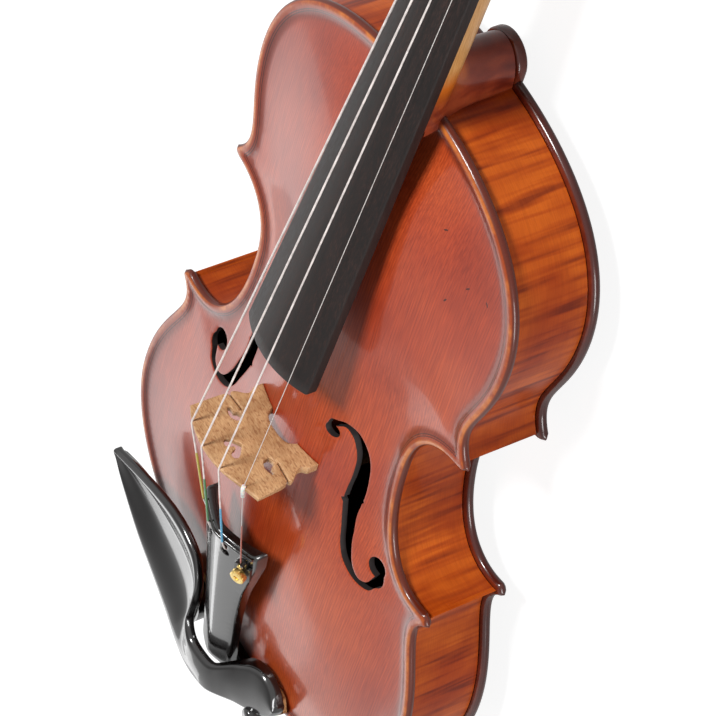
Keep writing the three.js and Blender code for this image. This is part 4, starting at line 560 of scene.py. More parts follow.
def tube(route, radius, sides):
    route = np.asarray(route, float)
    radii = np.full(len(route), radius) if np.isscalar(radius) else np.asarray(radius, float)
    normal = np.array([1.0, 0, 0])
    angle = aroundCircle(sides)
    rings = []
    for i, p in enumerate(route):
        run = route[min(i + 1, len(route) - 1)] - route[max(i - 1, 0)]
        run /= np.linalg.norm(run)
        normal = normal - run * normal.dot(run)
        normal /= np.linalg.norm(normal)
        across = np.cross(run, normal)
        rings.append(p + radii[i] * (np.cos(angle)[:, None] * normal + np.sin(angle)[:, None] * across))
    return loft(rings)


def smoothRoute(points, step):
    # A centripetal curve through the points, sampled about every step mm
    points = [np.asarray(p, float) for p in points]
    points = [2 * points[0] - points[1]] + points + [2 * points[-1] - points[-2]]
    out = []
    for a, b, c, d in zip(points, points[1:], points[2:], points[3:]):
        t = [0.0]
        for p, q in ((a, b), (b, c), (c, d)):
            t.append(t[-1] + max(np.linalg.norm(q - p), 1e-9) ** 0.5)
        count = max(1, int(np.linalg.norm(c - b) / step))
        for k in range(count):
            s = t[1] + (t[2] - t[1]) * k / count
            a1 = (t[1] - s) / (t[1] - t[0]) * a + (s - t[0]) / (t[1] - t[0]) * b
            a2 = (t[2] - s) / (t[2] - t[1]) * b + (s - t[1]) / (t[2] - t[1]) * c
            a3 = (t[3] - s) / (t[3] - t[2]) * c + (s - t[2]) / (t[3] - t[2]) * d
            b1 = (t[2] - s) / (t[2] - t[0]) * a1 + (s - t[0]) / (t[2] - t[0]) * a2
            b2 = (t[3] - s) / (t[3] - t[1]) * a2 + (s - t[1]) / (t[3] - t[1]) * a3
            out.append((t[2] - s) / (t[2] - t[1]) * b1 + (s - t[1]) / (t[2] - t[1]) * b2)
    out.append(points[-2])
    return np.array(out)


def planCurve(points, step):
    return smoothRoute([(*p, 0) for p in points], step)[:, :2]


def closedCurve(points, step):
    return planCurve([*points, points[0]], step)[:-1]


def rowAt(xs, y, z):
    return np.column_stack([xs, np.full(len(xs), y), z])


def lathe(profile, segments, centre, axis, hollow=False):
    # Profile rows are [radius, height]; heights run along the axis from the centre
    axis = np.asarray(axis, float) / np.linalg.norm(axis)
    side = np.cross(axis, (0.0, 0.0, 1.0) if abs(axis[2]) < 0.9 else (1.0, 0.0, 0.0))
    side /= np.linalg.norm(side)
    other = np.cross(axis, side)
    angle = aroundCircle(segments)
    spokes = np.cos(angle)[:, None] * side + np.sin(angle)[:, None] * other
    rings = [np.asarray(centre) + axis * h + max(r, 0.01) * spokes for r, h in profile]
    if not hollow:
        return loft(rings)
    points, faces = loft(rings + [rings[0]], caps=False)
    last = (len(rings) - 1) * segments
    faces = [tuple(i if i < last + segments else i - last - segments for i in f) for f in faces]
    return points[: last + segments], faces


def follow(table, at):
    # A smooth line through the rows [place, value] that never overshoots them
    table = np.asarray(table, float)
    x, y = table[:, 0], table[:, 1]
    step = np.diff(y) / np.diff(x)
    same = step[1:] * step[:-1] > 0
    total = np.where(same, step[1:] + step[:-1], 1.0)
    middle = np.where(same, 2 * step[1:] * step[:-1] / total, 0.0)
    slope = np.concatenate([step[:1], middle, step[-1:]])
    at = np.clip(np.asarray(at, float), x[0], x[-1])
    i = np.clip(np.searchsorted(x, at, "right") - 1, 0, len(x) - 2)
    wide = x[i + 1] - x[i]
    t = (at - x[i]) / wide
    rise = y[i] * (2 * t**3 - 3 * t**2 + 1) + y[i + 1] * (3 * t**2 - 2 * t**3)
    return rise + wide * (slope[i] * (t**3 - 2 * t**2 + t) + slope[i + 1] * (t**3 - t**2))


def dense(loop, step):
    # Splits long runs of a loop and keeps every corner
    out = []
    for a, b in zip(loop, np.roll(loop, -1, 0)):
        count = max(1, int(np.ceil(np.linalg.norm(b - a) / step)))
        out += [a + (b - a) * k / count for k in range(count)]
    return np.array(out)


# Outline of the plates, treble side from the tail up, then the bass side back
body = {
    "length": 356,
    "lowerWidth": 205.4,
    "waistWidth": 109.4,
    "upperWidth": 166,
    "lowerCorner": (93.0, 147.99),
    "lowerFlat": (90.0, 151.8),
    "upperFlat": (79.0, 234.0),
    "upperCorner": (82.6, 236.21),
    "lowerBoutAt": 76.79,
    "waistAt": 204.09,
    "upperBoutAt": 291.31,
    "ribTail": 31.5,
    "ribNeck": 30.0,
    "overhang": 2.7,
    "ribThickness": 1.2,
    "heelInside": 4.0,
    "glue": 0.3,  # left free where two pieces are glued
}


mirror = np.array([-1, 1])  # treble side to bass side, in the plan


def bezier(a, b, c, d, steps):
    t = np.linspace(0, 1, steps + 1)[:, None]
    a, b, c, d = (np.asarray(p, float) for p in (a, b, c, d))
    return a * (1 - t) ** 3 + 3 * b * t * (1 - t) ** 2 + 3 * c * t**2 * (1 - t) + d * t**3


def heading(degrees, length):
    return np.array([math.cos(math.radians(degrees)), math.sin(math.radians(degrees))]) * length


def bouts(fineness=1.0):
    half = {k: body[k] / 2 for k in ("lowerWidth", "waistWidth", "upperWidth")}
    low = np.array([half["lowerWidth"], body["lowerBoutAt"]])
    mid = np.array([half["waistWidth"], body["waistAt"]])
    high = np.array([half["upperWidth"], body["upperBoutAt"]])
    lc, lf = np.array(body["lowerCorner"]), np.array(body["lowerFlat"])
    uc, uf = np.array(body["upperCorner"]), np.array(body["upperFlat"])
    fall, rise, crown = lc[1] - low[1], high[1] - uc[1], body["length"] - high[1]
    wl, wu = mid[1] - lf[1], uf[1] - mid[1]
    end = (0, body["length"])
    n = lambda steps: max(4, int(steps * fineness))
    lower = np.concatenate([
        bezier((0, 0), (0.56 * low[0], 0), (low[0], low[1] * 0.44), low, n(60)),
        bezier(low, (low[0], low[1] + 0.572 * fall), lc - heading(38.3, 0.287 * fall), lc, n(36))[1:],
    ])
    waist = np.concatenate([
        bezier(lf, lf + heading(199.3, 0.485 * wl), (mid[0], mid[1] - 0.665 * wl), mid, n(36)),
        bezier(mid, (mid[0], mid[1] + 0.7 * wu), uf - heading(5.3, 0.423 * wu), uf, n(24))[1:],
    ])
    upper = np.concatenate([
        bezier(uc, uc + heading(133.2, 0.394 * rise), (high[0], high[1] - 0.545 * rise), high, n(30)),
        bezier(high, (high[0], high[1] + 0.586 * crown), (0.654 * high[0], end[1]), end, n(48))[1:],
    ])
    return lower, waist, upper


def wholeOutline(fineness=1.0):
    side = np.concatenate(bouts(fineness))
    other = side[1:-1][::-1] * mirror
    return np.concatenate([side, other])


def distanceTo(points, loop):
    points = np.asarray(points, float)
    a = np.asarray(loop, float)
    run = np.roll(a, -1, 0) - a
    span = (run**2).sum(1) + 1e-12
    out = np.empty(len(points))
    for start in range(0, len(points), 4000):
        p = points[start : start + 4000, None, :]
        t = np.clip(((p - a) * run).sum(2) / span, 0, 1)
        out[start : start + 4000] = np.sqrt((((p - a) - t[..., None] * run) ** 2).sum(2)).min(1)
    return out


def insideOf(points, loop):
    points = np.asarray(points, float)
    x, y = points[:, 0], points[:, 1]
    within = np.zeros(len(points), bool)
    for (x0, y0), (x1, y1) in zip(loop, np.roll(loop, -1, 0)):
        if y0 == y1:
            continue
        crossed = (y0 > y) != (y1 > y)
        within ^= crossed & (x < (x1 - x0) * (y - y0) / (y1 - y0) + x0)
    return within


# Arching: heights on a grid, smoothed away from the edge, exact close to it
arching = {
    "edge": 4.0,
    "round": 1.9,
    "channelAt": 6.5,
    "channelDip": 1.0,
    "spineStart": 61.9,
    "spineEnd": 300.1,
    "endFall": 3.6,
    "power": 0.85,
    "step": 1.5,
    "blur": 6.0,
    "blurFrom": 9,
    "blurOver": 20,
    "gridFrom": 7,
    "gridOver": 4,
}


def rawArch(points, d, crown):
    a = arching
    spine = np.clip(points[:, 1], a["spineStart"], a["spineEnd"])
    away = np.hypot(points[:, 0], points[:, 1] - spine)
    along = (spine - a["spineStart"]) / (a["spineEnd"] - a["spineStart"])
    share = np.clip((d - a["channelAt"]) / np.maximum(d + away - a["channelAt"], 1e-6), 0, 1)
    rise = (1 - np.cos(np.pi * share ** a["power"])) / 2
    top = crown - a["endFall"] * (2 * along - 1) ** 2
    low = a["edge"] - a["channelDip"]
    return low + (top - low) * rise


def makeArch(crown):
    a = arching
    xs = np.arange(-108, 108.1, a["step"])
    ys = np.arange(-6, 362.1, a["step"])
    gx, gy = np.meshgrid(xs, ys)
    cells = np.stack([gx.ravel(), gy.ravel()], 1)
    loop = wholeOutline(0.5)
    d = distanceTo(cells, loop) * np.where(insideOf(cells, loop), 1, -1)
    z = rawArch(cells, np.maximum(d, 0), crown).reshape(gx.shape)
    d = d.reshape(gx.shape)
    reach = int(3 * a["blur"] / a["step"])
    kernel = np.exp(-0.5 * (np.arange(-reach, reach + 1) * a["step"] / a["blur"]) ** 2)
    kernel /= kernel.sum()
    smoothed = lambda row: np.convolve(np.pad(row, reach, "edge"), kernel, "valid")
    soft = np.apply_along_axis(smoothed, 1, np.apply_along_axis(smoothed, 0, z))
    z = z + (soft - z) * sCurve(np.clip((d - a["blurFrom"]) / a["blurOver"], 0, 1))
    z *= crown / z.max()

    def heightAt(points, dist):
        points = np.asarray(points, float)
        fx = np.clip((points[:, 0] - xs[0]) / a["step"], 0, len(xs) - 1.001)
        fy = np.clip((points[:, 1] - ys[0]) / a["step"], 0, len(ys) - 1.001)
        i, j = fx.astype(int), fy.astype(int)
        u, v = fx - i, fy - j
        near = z[j, i] * (1 - u) * (1 - v) + z[j, i + 1] * u * (1 - v)
        grid = near + z[j + 1, i] * (1 - u) * v + z[j + 1, i + 1] * u * v
        exact = rawArch(points, dist, crown)
        arch = exact + (grid - exact) * np.clip((dist - a["gridFrom"]) / a["gridOver"], 0, 1)
        inward = np.clip((dist - a["round"]) / (a["channelAt"] - a["round"]), 0, 1)
        crest = 0.5 * (1 + np.cos(np.pi * inward))
        arch = np.where(dist < a["channelAt"], a["edge"] - a["channelDip"] * (1 - crest), arch)
        return arch - roundedDrop(dist, a["round"])

    return heightAt


def parallelPoints(loop, inset, step):
    # Points at one distance inside a loop; those that fold over at corners are left out
    loop = np.asarray(loop, float)
    run = np.roll(loop, -1, 0) - np.roll(loop, 1, 0)
    run /= np.linalg.norm(run, axis=1)[:, None] + 1e-12
    inner = loop + np.stack([-run[:, 1], run[:, 0]], 1) * inset
    keep = distanceTo(inner, loop) > inset * 0.985
    inner = inner[keep]
    kept = [inner[0]]
    for p in inner[1:]:
        if np.linalg.norm(p - kept[-1]) >= step:
            kept.append(p)
    return np.array(kept)


def areaOf(loop):
    loop = np.asarray(loop)
    x, y = loop[:, 0], loop[:, 1]
    return 0.5 * (x * np.roll(y, -1) - np.roll(x, -1) * y).sum()


def lengthAlong(line):
    return np.concatenate([[0], np.cumsum(np.linalg.norm(np.diff(line, axis=0), axis=1))])


def placedAlong(line, at):
    run = lengthAlong(line)
    return np.stack([np.interp(at, run, line[:, 0]), np.interp(at, run, line[:, 1])], 1)


def resampled(loop, step):
    # A closed loop again, in even steps
    loop = np.asarray(loop, float)
    closed = np.concatenate([loop, loop[:1]])
    long = lengthAlong(closed)[-1]
    return placedAlong(closed, np.linspace(0, long, max(3, int(long / step)), endpoint=False))


def triangulated(loops, inner, tolerance):
    # Triangles between the points of some loops and those inside, with the centre of each
    points, edges = [], []
    for loop in loops:
        first, n = len(points), len(loop)
        points += [Vector(p) for p in loop]
        edges += [(first + i, first + (i + 1) % n) for i in range(n)]
    out = delaunay_2d_cdt(points + [Vector(p) for p in inner], edges, [], 0, tolerance)
    verts = np.array([tuple(v) for v in out[0]])
    faces = np.array([f for f in out[2] if len(f) == 3])
    return verts, faces, verts[faces].mean(1)


def withinPlan(points, loops):
    # Inside the first loop and outside the others
    keep = insideOf(points, loops[0])
    for hole in loops[1:]:
        keep &= ~insideOf(points, hole)
    return keep


def openEdges(faces):
    # The edges that only one triangle has
    seen = {}
    for f in faces:
        for a, b in ((f[0], f[1]), (f[1], f[2]), (f[2], f[0])):
            if (b, a) in seen:
                del seen[(b, a)]
            else:
                seen[(a, b)] = True
    return list(seen)


def plankPiece(loops, spacing, insets):
    # The plan of a carved board, meshed finely near its edges; distances to the nearest edge too
    loops = [np.asarray(loop if areaOf(loop) > 0 else loop[::-1], float) for loop in loops]
    everyEdge = lambda p: np.min([distanceTo(p, l) for l in loops], axis=0)
    low, high = loops[0].min(0), loops[0].max(0)
    xs = np.arange(low[0], high[0], spacing)
    ys = np.arange(low[1], high[1], spacing * 0.87)
    gx, gy = np.meshgrid(xs, ys)
    gx = gx + (np.arange(len(ys)) % 2)[:, None] * spacing / 2
    cells = np.stack([gx.ravel(), gy.ravel()], 1)
    cells = cells[withinPlan(cells, loops)]
    margin = (insets[-1] if insets else 0) + spacing * 0.55
    inner = [cells[everyEdge(cells) > margin]]
    for inset in insets:
        for k, loop in enumerate(loops):
            ring = parallelPoints(loop if k == 0 else loop[::-1], inset, min(spacing, 0.6 + inset * 0.5))
            if len(ring):
                inner.append(ring[everyEdge(ring) > inset * 0.97])
    verts, faces, centre = triangulated(loops, np.concatenate(inner), 1e-6)
    return verts, faces[withinPlan(centre, loops)], everyEdge(verts)


def boardFrom(verts, faces, zTop, zLow):
    # Lifts a meshed plan to two heights and walls it along every loop
    n = len(verts)
    points = np.concatenate([np.column_stack([verts, zTop]), np.column_stack([verts, zLow])])
    every = [tuple(f) for f in faces] + [tuple(int(i) + n for i in f[::-1]) for f in faces]
    return points, every + [(b, a, a + n, b + n) for a, b in openEdges(faces)]


# Sound holes, drawn on the treble side
holes = {
    "outer": [
        (18.3, 190.2), (19.2, 193.9), (21.88, 195.55), (25.47, 197.51), (31.02, 197.12), (36.15, 192.38),
        (39.44, 186.01),
        (41.29, 177.47), (42.31, 168.57), (42.52, 157.1), (43.96, 149.7), (45.91, 141.4),
        (49.91, 133.22), (54.33, 130.58), (58.13, 132.5), (60.08, 137.84), (60.6, 140.1),
    ],
    "inner": [
        (64.2, 143.0), (65.3, 139.6), (64.7, 136.6), (62.85, 134.39), (60.59, 130.12), (55.46, 128.09),
        (50.53, 128.59), (44.88, 131.9),
        (41.08, 137.88), (38.72, 145.39), (36.77, 152.01), (34.97, 159.06), (34.51, 166.07),
        (34.61, 172.59), (34.35, 178.71), (33.53, 184.8), (31.84, 189.29), (29.42, 193.2),
        (25.88, 195.19), (22.49, 192.38),
    ],
    "upperEye": ((21.26, 188.86), 3.3),
    "lowerEye": ((59.62, 143.65), 4.6),
    "notches": [
        [(33.58, 159.63), (35.64, 161.8), (35.64, 157.53)],
        [(43.13, 165.5), (41.08, 167.68), (41.08, 163.4)],
    ],
}


def soundHole(side):
    # One loop round the stem, both eyes and both notches, found by walking their union
    shapes = [np.concatenate([planCurve(holes[edge], 0.5) for edge in ("outer", "inner")])]
    angle = aroundCircle(64)
    for (x, y), r in (holes["upperEye"], holes["lowerEye"]):
        shapes.append(np.stack([x + r * np.cos(angle), y + r * np.sin(angle)], 1))
    shapes += [np.array(notch) for notch in holes["notches"]]
    verts, faces, centre = triangulated(shapes, [], 1e-5)
    faces = faces[np.any([insideOf(centre, shape) for shape in shapes], axis=0)]
    after = dict(openEdges([f if areaOf(verts[f]) > 0 else f[::-1] for f in faces]))
    loops = []
    while after:
        start = next(iter(after))
        loop, here = [start], after.pop(start)
        while here != start and here in after:
            loop.append(here)
            here = after.pop(here)
        loops.append(loop)
    loop = resampled(verts[max(loops, key=len)], 0.7)
    return loop if side > 0 else (loop * mirror)[::-1]


# Arch heights and thicknesses; the flat edge inside, and the width over which the hollow deepens
plates = {
    "topCrown": 15.5, "topThick": 2.8, "backCrown": 15.0, "backThick": 3.4, "glued": 7.4, "hollowOver": 10,
    "insets": [0.12, 0.35, 0.7, 1.15, 1.9, 2.6, 3.3, 3.9, 4.3, 4.7, 5.3, 6.0, 7.0, 8.5, 10.5, 13.0],
}
topHeight = makeArch(plates["topCrown"])
backHeight = makeArch(plates["backCrown"])


def ribDepth(y):
    return body["ribTail"] + (body["ribNeck"] - body["ribTail"]) * y / body["length"]


def hollowUnder(outside, edge, thick):
    # The inner side of a plate: flat where it is glued, then hollow, with its edge rounded
    share = sCurve(np.clip((edge - plates["glued"]) / plates["hollowOver"], 0, 1))
    return np.maximum((outside - thick) * share, 0) + roundedDrop(edge, arching["round"])


def makeTop():
    loops = [resampled(wholeOutline(1.0), 1.3), soundHole(1), soundHole(-1)]
    verts, faces, _ = plankPiece(loops, 3.0, plates["insets"])
    edge = distanceTo(verts, loops[0])
    hole = np.min([distanceTo(verts, loop) for loop in loops[1:]], axis=0)
    outside = topHeight(verts, edge)
    inside = hollowUnder(outside, edge, plates["topThick"])
    # The rim of each sound hole is broken a little
    points, every = boardFrom(verts, faces, outside - np.maximum(0.35 - hole, 0) * 0.6, inside)
    obj = makePiece("spruceTop", points, every, spruceTop, stands=["top_plate"],
                    angle=50, marks={"edgeDistance": np.concatenate([edge, edge])})
    obj.data.materials.append(holeStain)
    cut = np.concatenate([hole, hole]) < 0.01
    for face in obj.data.polygons:
        if len(face.vertices) == 4 and cut[list(face.vertices)].all():
            face.material_index = 1


def makeBack():
    loops = [resampled(wholeOutline(1.0), 1.5)]
    verts, faces, edge = plankPiece(loops, 4.0, plates["insets"])
    floor = -ribDepth(verts[:, 1])
    outside = backHeight(verts, edge)
    plate = boardFrom(verts, faces, floor - hollowUnder(outside, edge, plates["backThick"]), floor - outside)
    button = buttonMesh()
    points, every = joined([plate, button])
    lip = np.concatenate([edge, edge, np.full(len(button[0]), 1.0)])
    makePiece("mapleBack", points, every, backMaple, stands=["back_plate"],
              angle=50, marks={"edgeDistance": lip, "run": points[:, [1, 0, 2]] * mm})


def buttonMesh():
    # The half-round tongue of the back under the heel
    radius, thick, reach = 10.5, 4.4, 13
    start, centre = body["length"] - reach, body["length"] + reach - radius
    rings = []
    for inset, share in ((1.0, 0.0), (0.25, 0.06), (0.0, 0.2), (0.0, 0.8), (0.25, 0.94), (1.0, 1.0)):
        r = radius - inset
        arc = [(r * math.cos(math.pi * i / 24), centre + r * math.sin(math.pi * i / 24)) for i in range(25)]
        ring = [(r, start), (r, centre - 4), *arc, (-r, centre - 4), (-r, start)]
        rings.append(np.array([(x, y, -ribDepth(y) - share * thick) for x, y in ring]))
    return loft(rings)


makeTop()
makeBack()
print("plates carved")

# Ribs: thin bent strips, each with its length along the strip for the flame


def insetLine(line, inset):
    run = np.gradient(line, axis=0)
    run /= np.linalg.norm(run, axis=1)[:, None]
    if abs(line[0, 0]) < 1e-6:
        run[0] = (1, 0)
    if abs(line[-1, 0]) < 1e-6:
        run[-1] = (-1, 0)
    return line + np.stack([-run[:, 1], run[:, 0]], 1) * inset


def cutAt(line, fence, keepStart):
    # Keeps the stretch before (or after) the place where a line meets a fence
    seq = line if keepStart else line[::-1]
    for i in range(len(seq) - 1):
        a, r = seq[i], seq[i + 1] - seq[i]
        for j in range(len(fence) - 1):
            c, s = fence[j], fence[j + 1] - fence[j]
            area = r[0] * s[1] - r[1] * s[0]
            if abs(area) < 1e-12:
                continue
            t = ((c - a)[0] * s[1] - (c - a)[1] * s[0]) / area
            u = ((c - a)[0] * r[1] - (c - a)[1] * r[0]) / area
            if 0 <= t <= 1 and 0 <= u <= 1:
                seq = np.concatenate([seq[: i + 1], [a + t * r]])
                return seq if keepStart else seq[::-1]
    return line


def makeRibs():
    # The outer and the inner line of each rib, cut where it meets its neighbours
    insets = (body["overhang"], body["overhang"] + body["ribThickness"])
    lower, waist, upper = ([insetLine(line, inset) for inset in insets] for line in bouts(1.0))
    strips = {
        "lower": [cutAt(line, waist[0], True) for line in lower],
        "waist": [cutAt(cutAt(line, upper[1], True), lower[1], False) for line in waist],
        "upper": [cutAt(line, waist[0], False) for line in upper],
    }
    for k, (name, (outer, inner)) in enumerate(strips.items()):
        if name == "upper":
            # They end inside the heel, which stands between the two upper ribs
            outer, inner = (line[line[:, 0] > body["heelInside"]] for line in (outer, inner))
        for side, sign in (("treble", 1), ("bass", -1)):
            rings, runs = [], []
            for line, level in ((outer, 0), (outer, 1), (inner, 1), (inner, 0)):
                line = placedAlong(line, np.linspace(0, lengthAlong(line)[-1], 90))
                z = np.where(level, -ribDepth(line[:, 1]) + body["glue"], -body["glue"])
                rings.append(np.column_stack([line * np.array([sign, 1]), z]))
                # Each strip has its own stretch of the flame
                along = lengthAlong(line) + 300 * k + 40 * sign
                runs.append(np.column_stack([along, z, np.full(len(line), 7.0 * k)]))
            points = np.stack(rings, 1).reshape(-1, 3)
            run = np.stack(runs, 1).reshape(-1, 3) * mm
            faces = []
            for i in range(len(rings[0]) - 1):
                for j in range(4):
                    a, b = i * 4 + j, i * 4 + (j + 1) % 4
                    faces.append((a, b, b + 4, a + 4))
            faces += [(0, 1, 2, 3), tuple(len(points) - 4 + j for j in range(4))]
            makePiece(f"{name}Rib{side.title()}", points, faces, ribMaple, stands=[f"{name}_rib_{side}"],
                      angle=40, marks={"run": run})


makeRibs()
print("ribs bent")

# Lines shared by the neck, the fingerboard and the strings
neck = {
    "bodyEnd": 356, "nutY": 486, "plane": 10.4, "fall": 14.65, "stop": 130,
    "boardLength": 266, "boardNut": 24, "boardEnd": 42, "boardRadius": 42, "boardEdge": 4.6,
    "boardSoft": 0.7, "boardHollow": 3.0, "hollowEnd": 353, "hollowFade": 10,
    "nutLength": 5.5, "nutRise": 1.1,
    "widthNut": 23.6, "widthBody": 32, "depthNut": 12, "depthBody": 13.4, "side": 1.6, "topRise": 0.28,
}


def neckPlane(y):
    return neck["plane"] - neck["fall"] * (np.asarray(y, float) - neck["bodyEnd"]) / neck["stop"]


def boardHalf(y):
    share = (neck["nutY"] - np.asarray(y, float)) / neck["boardLength"]
    return (neck["boardNut"] + (neck["boardEnd"] - neck["boardNut"]) * share) / 2


def boardTop(x, y):
    r = neck["boardRadius"]
    return neckPlane(y) + neck["boardEdge"] + np.sqrt(r**2 - x**2) - np.sqrt(r**2 - boardHalf(y) ** 2)


def makeFingerboard():
    end = neck["nutY"] - neck["boardLength"]
    rings = []
    steps = [(0.0, 0.5), (0.15, 0.2), (0.5, 0.0)]
    ys = [(end + s, i) for s, i in steps] + [(y, 0.0) for y in np.linspace(end + 6, neck["nutY"] - 0.3, 60)]
    for y, inset in ys:
        half = float(boardHalf(y)) - inset
        xs = half * np.sin(np.linspace(-1, 1, 33) * math.pi / 2)
        top = boardTop(xs, y) - roundedDrop(half - np.abs(xs), neck["boardSoft"]) - inset
        # The part that hangs free over the body is hollowed below
        hollow = neck["boardHollow"] * np.clip((neck["hollowEnd"] - y) / neck["hollowFade"], 0, 1)
        across = np.maximum(0, 1 - (xs / half) ** 2 - 0.2) / 0.8
        low = neckPlane(y) + body["glue"] + hollow * across + inset
        rings.append(np.concatenate([rowAt(xs[::-1], y, top[::-1]), rowAt(xs, y, low)]))
    points, faces = loft(rings)
    makePiece("fingerboard", points, faces, oiledEbony, stands=["fingerboard"], angle=40)


def makeNut():
    rings = []
    y0, long, half = neck["nutY"], neck["nutLength"], neck["boardNut"] / 2
    for share, sink in ((0, 0.5), (0.06, 0.12), (0.2, 0), (0.45, 0.1), (0.7, 0.6), (0.9, 1.5), (1, 2.2)):
        y = y0 + share * long
        xs = np.linspace(half, -half, 25)
        top = boardTop(xs, y0) + neck["nutRise"] - sink
        low = float(neckPlane(y)) + body["glue"]
        rings.append(np.concatenate([rowAt(xs, y, top), [(-half, y, low), (half, y, low)]]))
    points, faces = loft(rings)
    makePiece("nut", points, faces, polishedEbony, stands=["nut"], angle=40)


# Head: pegbox walls round a hollow, then the volute of the scroll
head = {
    "length": 106, "run": 86.246, "eyeY": 572.246, "eyeZ": -20.0,
    "radius": 22, "turnShare": 0.65, "turns": 2.5, "eyeRadius": 4.3, "eyeWidth": 42, "startWidth": 16,
    "widthPower": 1.6, "chamfer": 1.0, "flute": 1.1,
    "cheekRise": 2.6, "cheekFall": 9, "wall": 3.9, "floor": 6, "soft": 0.5,
    # Shares of the run: the head's start, its hollow's start, end and steepness, the neck's blend
    "boxStart": 0.05, "hollow": (0.09, 0.775), "hollowEnd": 0.0005, "blendOver": 0.13,
    "cheeks": [(0, 0), (0.06, 0), (0.3, 0.2), (0.55, 0.5), (0.74, 1), (0.85, 1.9), (1, 2.4)],
    "under": [(0, 0), (0.1, 0.1), (0.23, 0.33), (0.41, 0.56), (0.58, 0.74), (0.77, 0.9), (1, 1)],
    "width": [(0, 0), (0.77, 0.8), (1, 1)],
}


def cheekTop(share):
    start = float(neckPlane(neck["nutY"])) + head["cheekRise"]
    return start - head["cheekFall"] * follow(head["cheeks"], share)


def headUnder(share):
    start = float(neckPlane(neck["nutY"])) - neck["depthNut"]
    return start + (head["eyeZ"] - head["radius"] - start) * follow(head["under"], share)


def headHalf(share):
    return (neck["widthNut"] + (head["startWidth"] - neck["widthNut"]) * follow(head["width"], share)) / 2


def flutedBack(half, flute):
    # Across the back of the head: two hollows with a ridge between; returns x and depth
    u = np.linspace(-1, 1, 25)
    depth = flute * np.sin(np.pi * np.abs(u)) ** 2
    x = u * (half - head["chamfer"])
    return [(-half, 1.1), (-half + 0.25, 0.35), *zip(x, depth), (half - 0.25, 0.35), (half, 1.1)]


def pegboxShell():
    rings = []
    near, far = head["hollow"]
    soft, bulge = head["soft"], neck["depthNut"] - neck["side"] - 2
    for share in np.concatenate([
        np.linspace(head["boxStart"], near - head["hollowEnd"], 6), np.linspace(near, far, 46),
        np.linspace(far + head["hollowEnd"], 1, 16),
    ]):
        y = neck["nutY"] + share * head["run"]
        half, top, under = float(headHalf(share)), float(cheekTop(share)), float(headUnder(share))
        inner, low = half - head["wall"], under + head["floor"]
        floor = [(-inner - 0.2, top), (-inner, top - 0.3), (-inner, low + 1.5), (-inner + 1.2, low + 0.3)]
        if not near <= share <= far:
            low = top
            floor = [(x, top) for x, _ in floor]
        wall = [(-half, top - soft), (-half + soft * 0.3, top - soft * 0.3), (-half + soft, top), *floor]
        # The round neck turns into the flat back of the pegbox over a finger's width
        rounded = (1 - sCurve(np.clip((share - head["boxStart"]) / head["blendOver"], 0, 1))) * bulge
        back = flutedBack(half, head["flute"] * min(1, 4 * share))[::-1]
        lift = [rounded * (1 - math.sqrt(max(0.0, 1 - (abs(x) / half) ** 2.2))) for x, _ in back]
        ring = [*wall, (0, low), *[(-x, z) for x, z in wall[::-1]]]
        ring += [(x, under + depth + rise) for (x, depth), rise in zip(back, lift)]
        rings.append(np.array([(x, y, z) for x, z in ring]))
    return loft(rings)


def voluteShell():
    h = head
    rings = []
    wider = h["eyeWidth"] - 2 - h["startWidth"]
    for turns in np.linspace(-0.01, h["turns"], 190):
        grown = (max(turns, 0) / h["turns"]) ** h["widthPower"]
        reach = (h["radius"] - 0.05) * h["turnShare"] ** turns
        half = (h["startWidth"] + wider * grown) / 2
        angle = 2 * math.pi * turns
        flute = h["flute"] * np.clip(2 - 2 * turns, 0, 1)
        side = [(half, 0.5), (half - 0.5, 0.66), (half - 0.35, 0.82)]
        ring = [(x, reach * share) for x, share in side]
        ring += [(x, reach - d) for x, d in flutedBack(half, flute)[::-1]]
        ring += [(-x, reach * share) for x, share in side[::-1]]
        rings.append(np.array([
            (x, h["eyeY"] + r * math.sin(angle), h["eyeZ"] - r * math.cos(angle)) for x, r in ring
        ]))
    return loft(rings)


def eyeShell():
    r, w = head["eyeRadius"], head["eyeWidth"] / 2
    half = [(0, w), (r - 1.2, w), (r - 0.4, w - 0.25), (r, w - 0.9)]
    profile = [*[(x, -h) for x, h in half], *half[::-1]]
    return lathe(profile, 48, (0, head["eyeY"], head["eyeZ"]), (1, 0, 0))


def shaftShell():
    rings = []
    start, end = neck["bodyEnd"] - 3, neck["nutY"] + neck["nutLength"]
    for share in np.linspace(0, 1, 40):
        y = start + (end - start) * share
        half = (neck["widthBody"] + (neck["widthNut"] - neck["widthBody"]) * share) / 2
        depth = neck["depthBody"] + (neck["depthNut"] - neck["depthBody"]) * share
        angle = np.linspace(0, math.pi, 31)
        drop = neck["side"] + (depth - neck["side"]) * np.sin(angle) ** 0.9
        z = float(neckPlane(y))
        ring = [(-half, y, z + neck["topRise"]), (half, y, z + neck["topRise"])]
        ring += [(half * math.cos(a), y, z - d) for a, d in zip(angle, drop)]
        rings.append(np.array(ring))
    return loft(rings)


heel = {
    # Rows: rise from the button to the neck, how far it flares out, how wide it is
    "rows": [
        (0, 0, 0.66), (0.22, 0.04, 0.68), (0.42, 0.14, 0.72), (0.55, 0.3, 0.78), (0.65, 0.6, 0.86),
        (0.72, 1, 0.93), (0.85, 1.4, 0.99), (1, 1.7, 1),
    ],
    "flare": 17, "tip": 12.7, "root": 350, "over": 5.7, "under": 0.2,
}


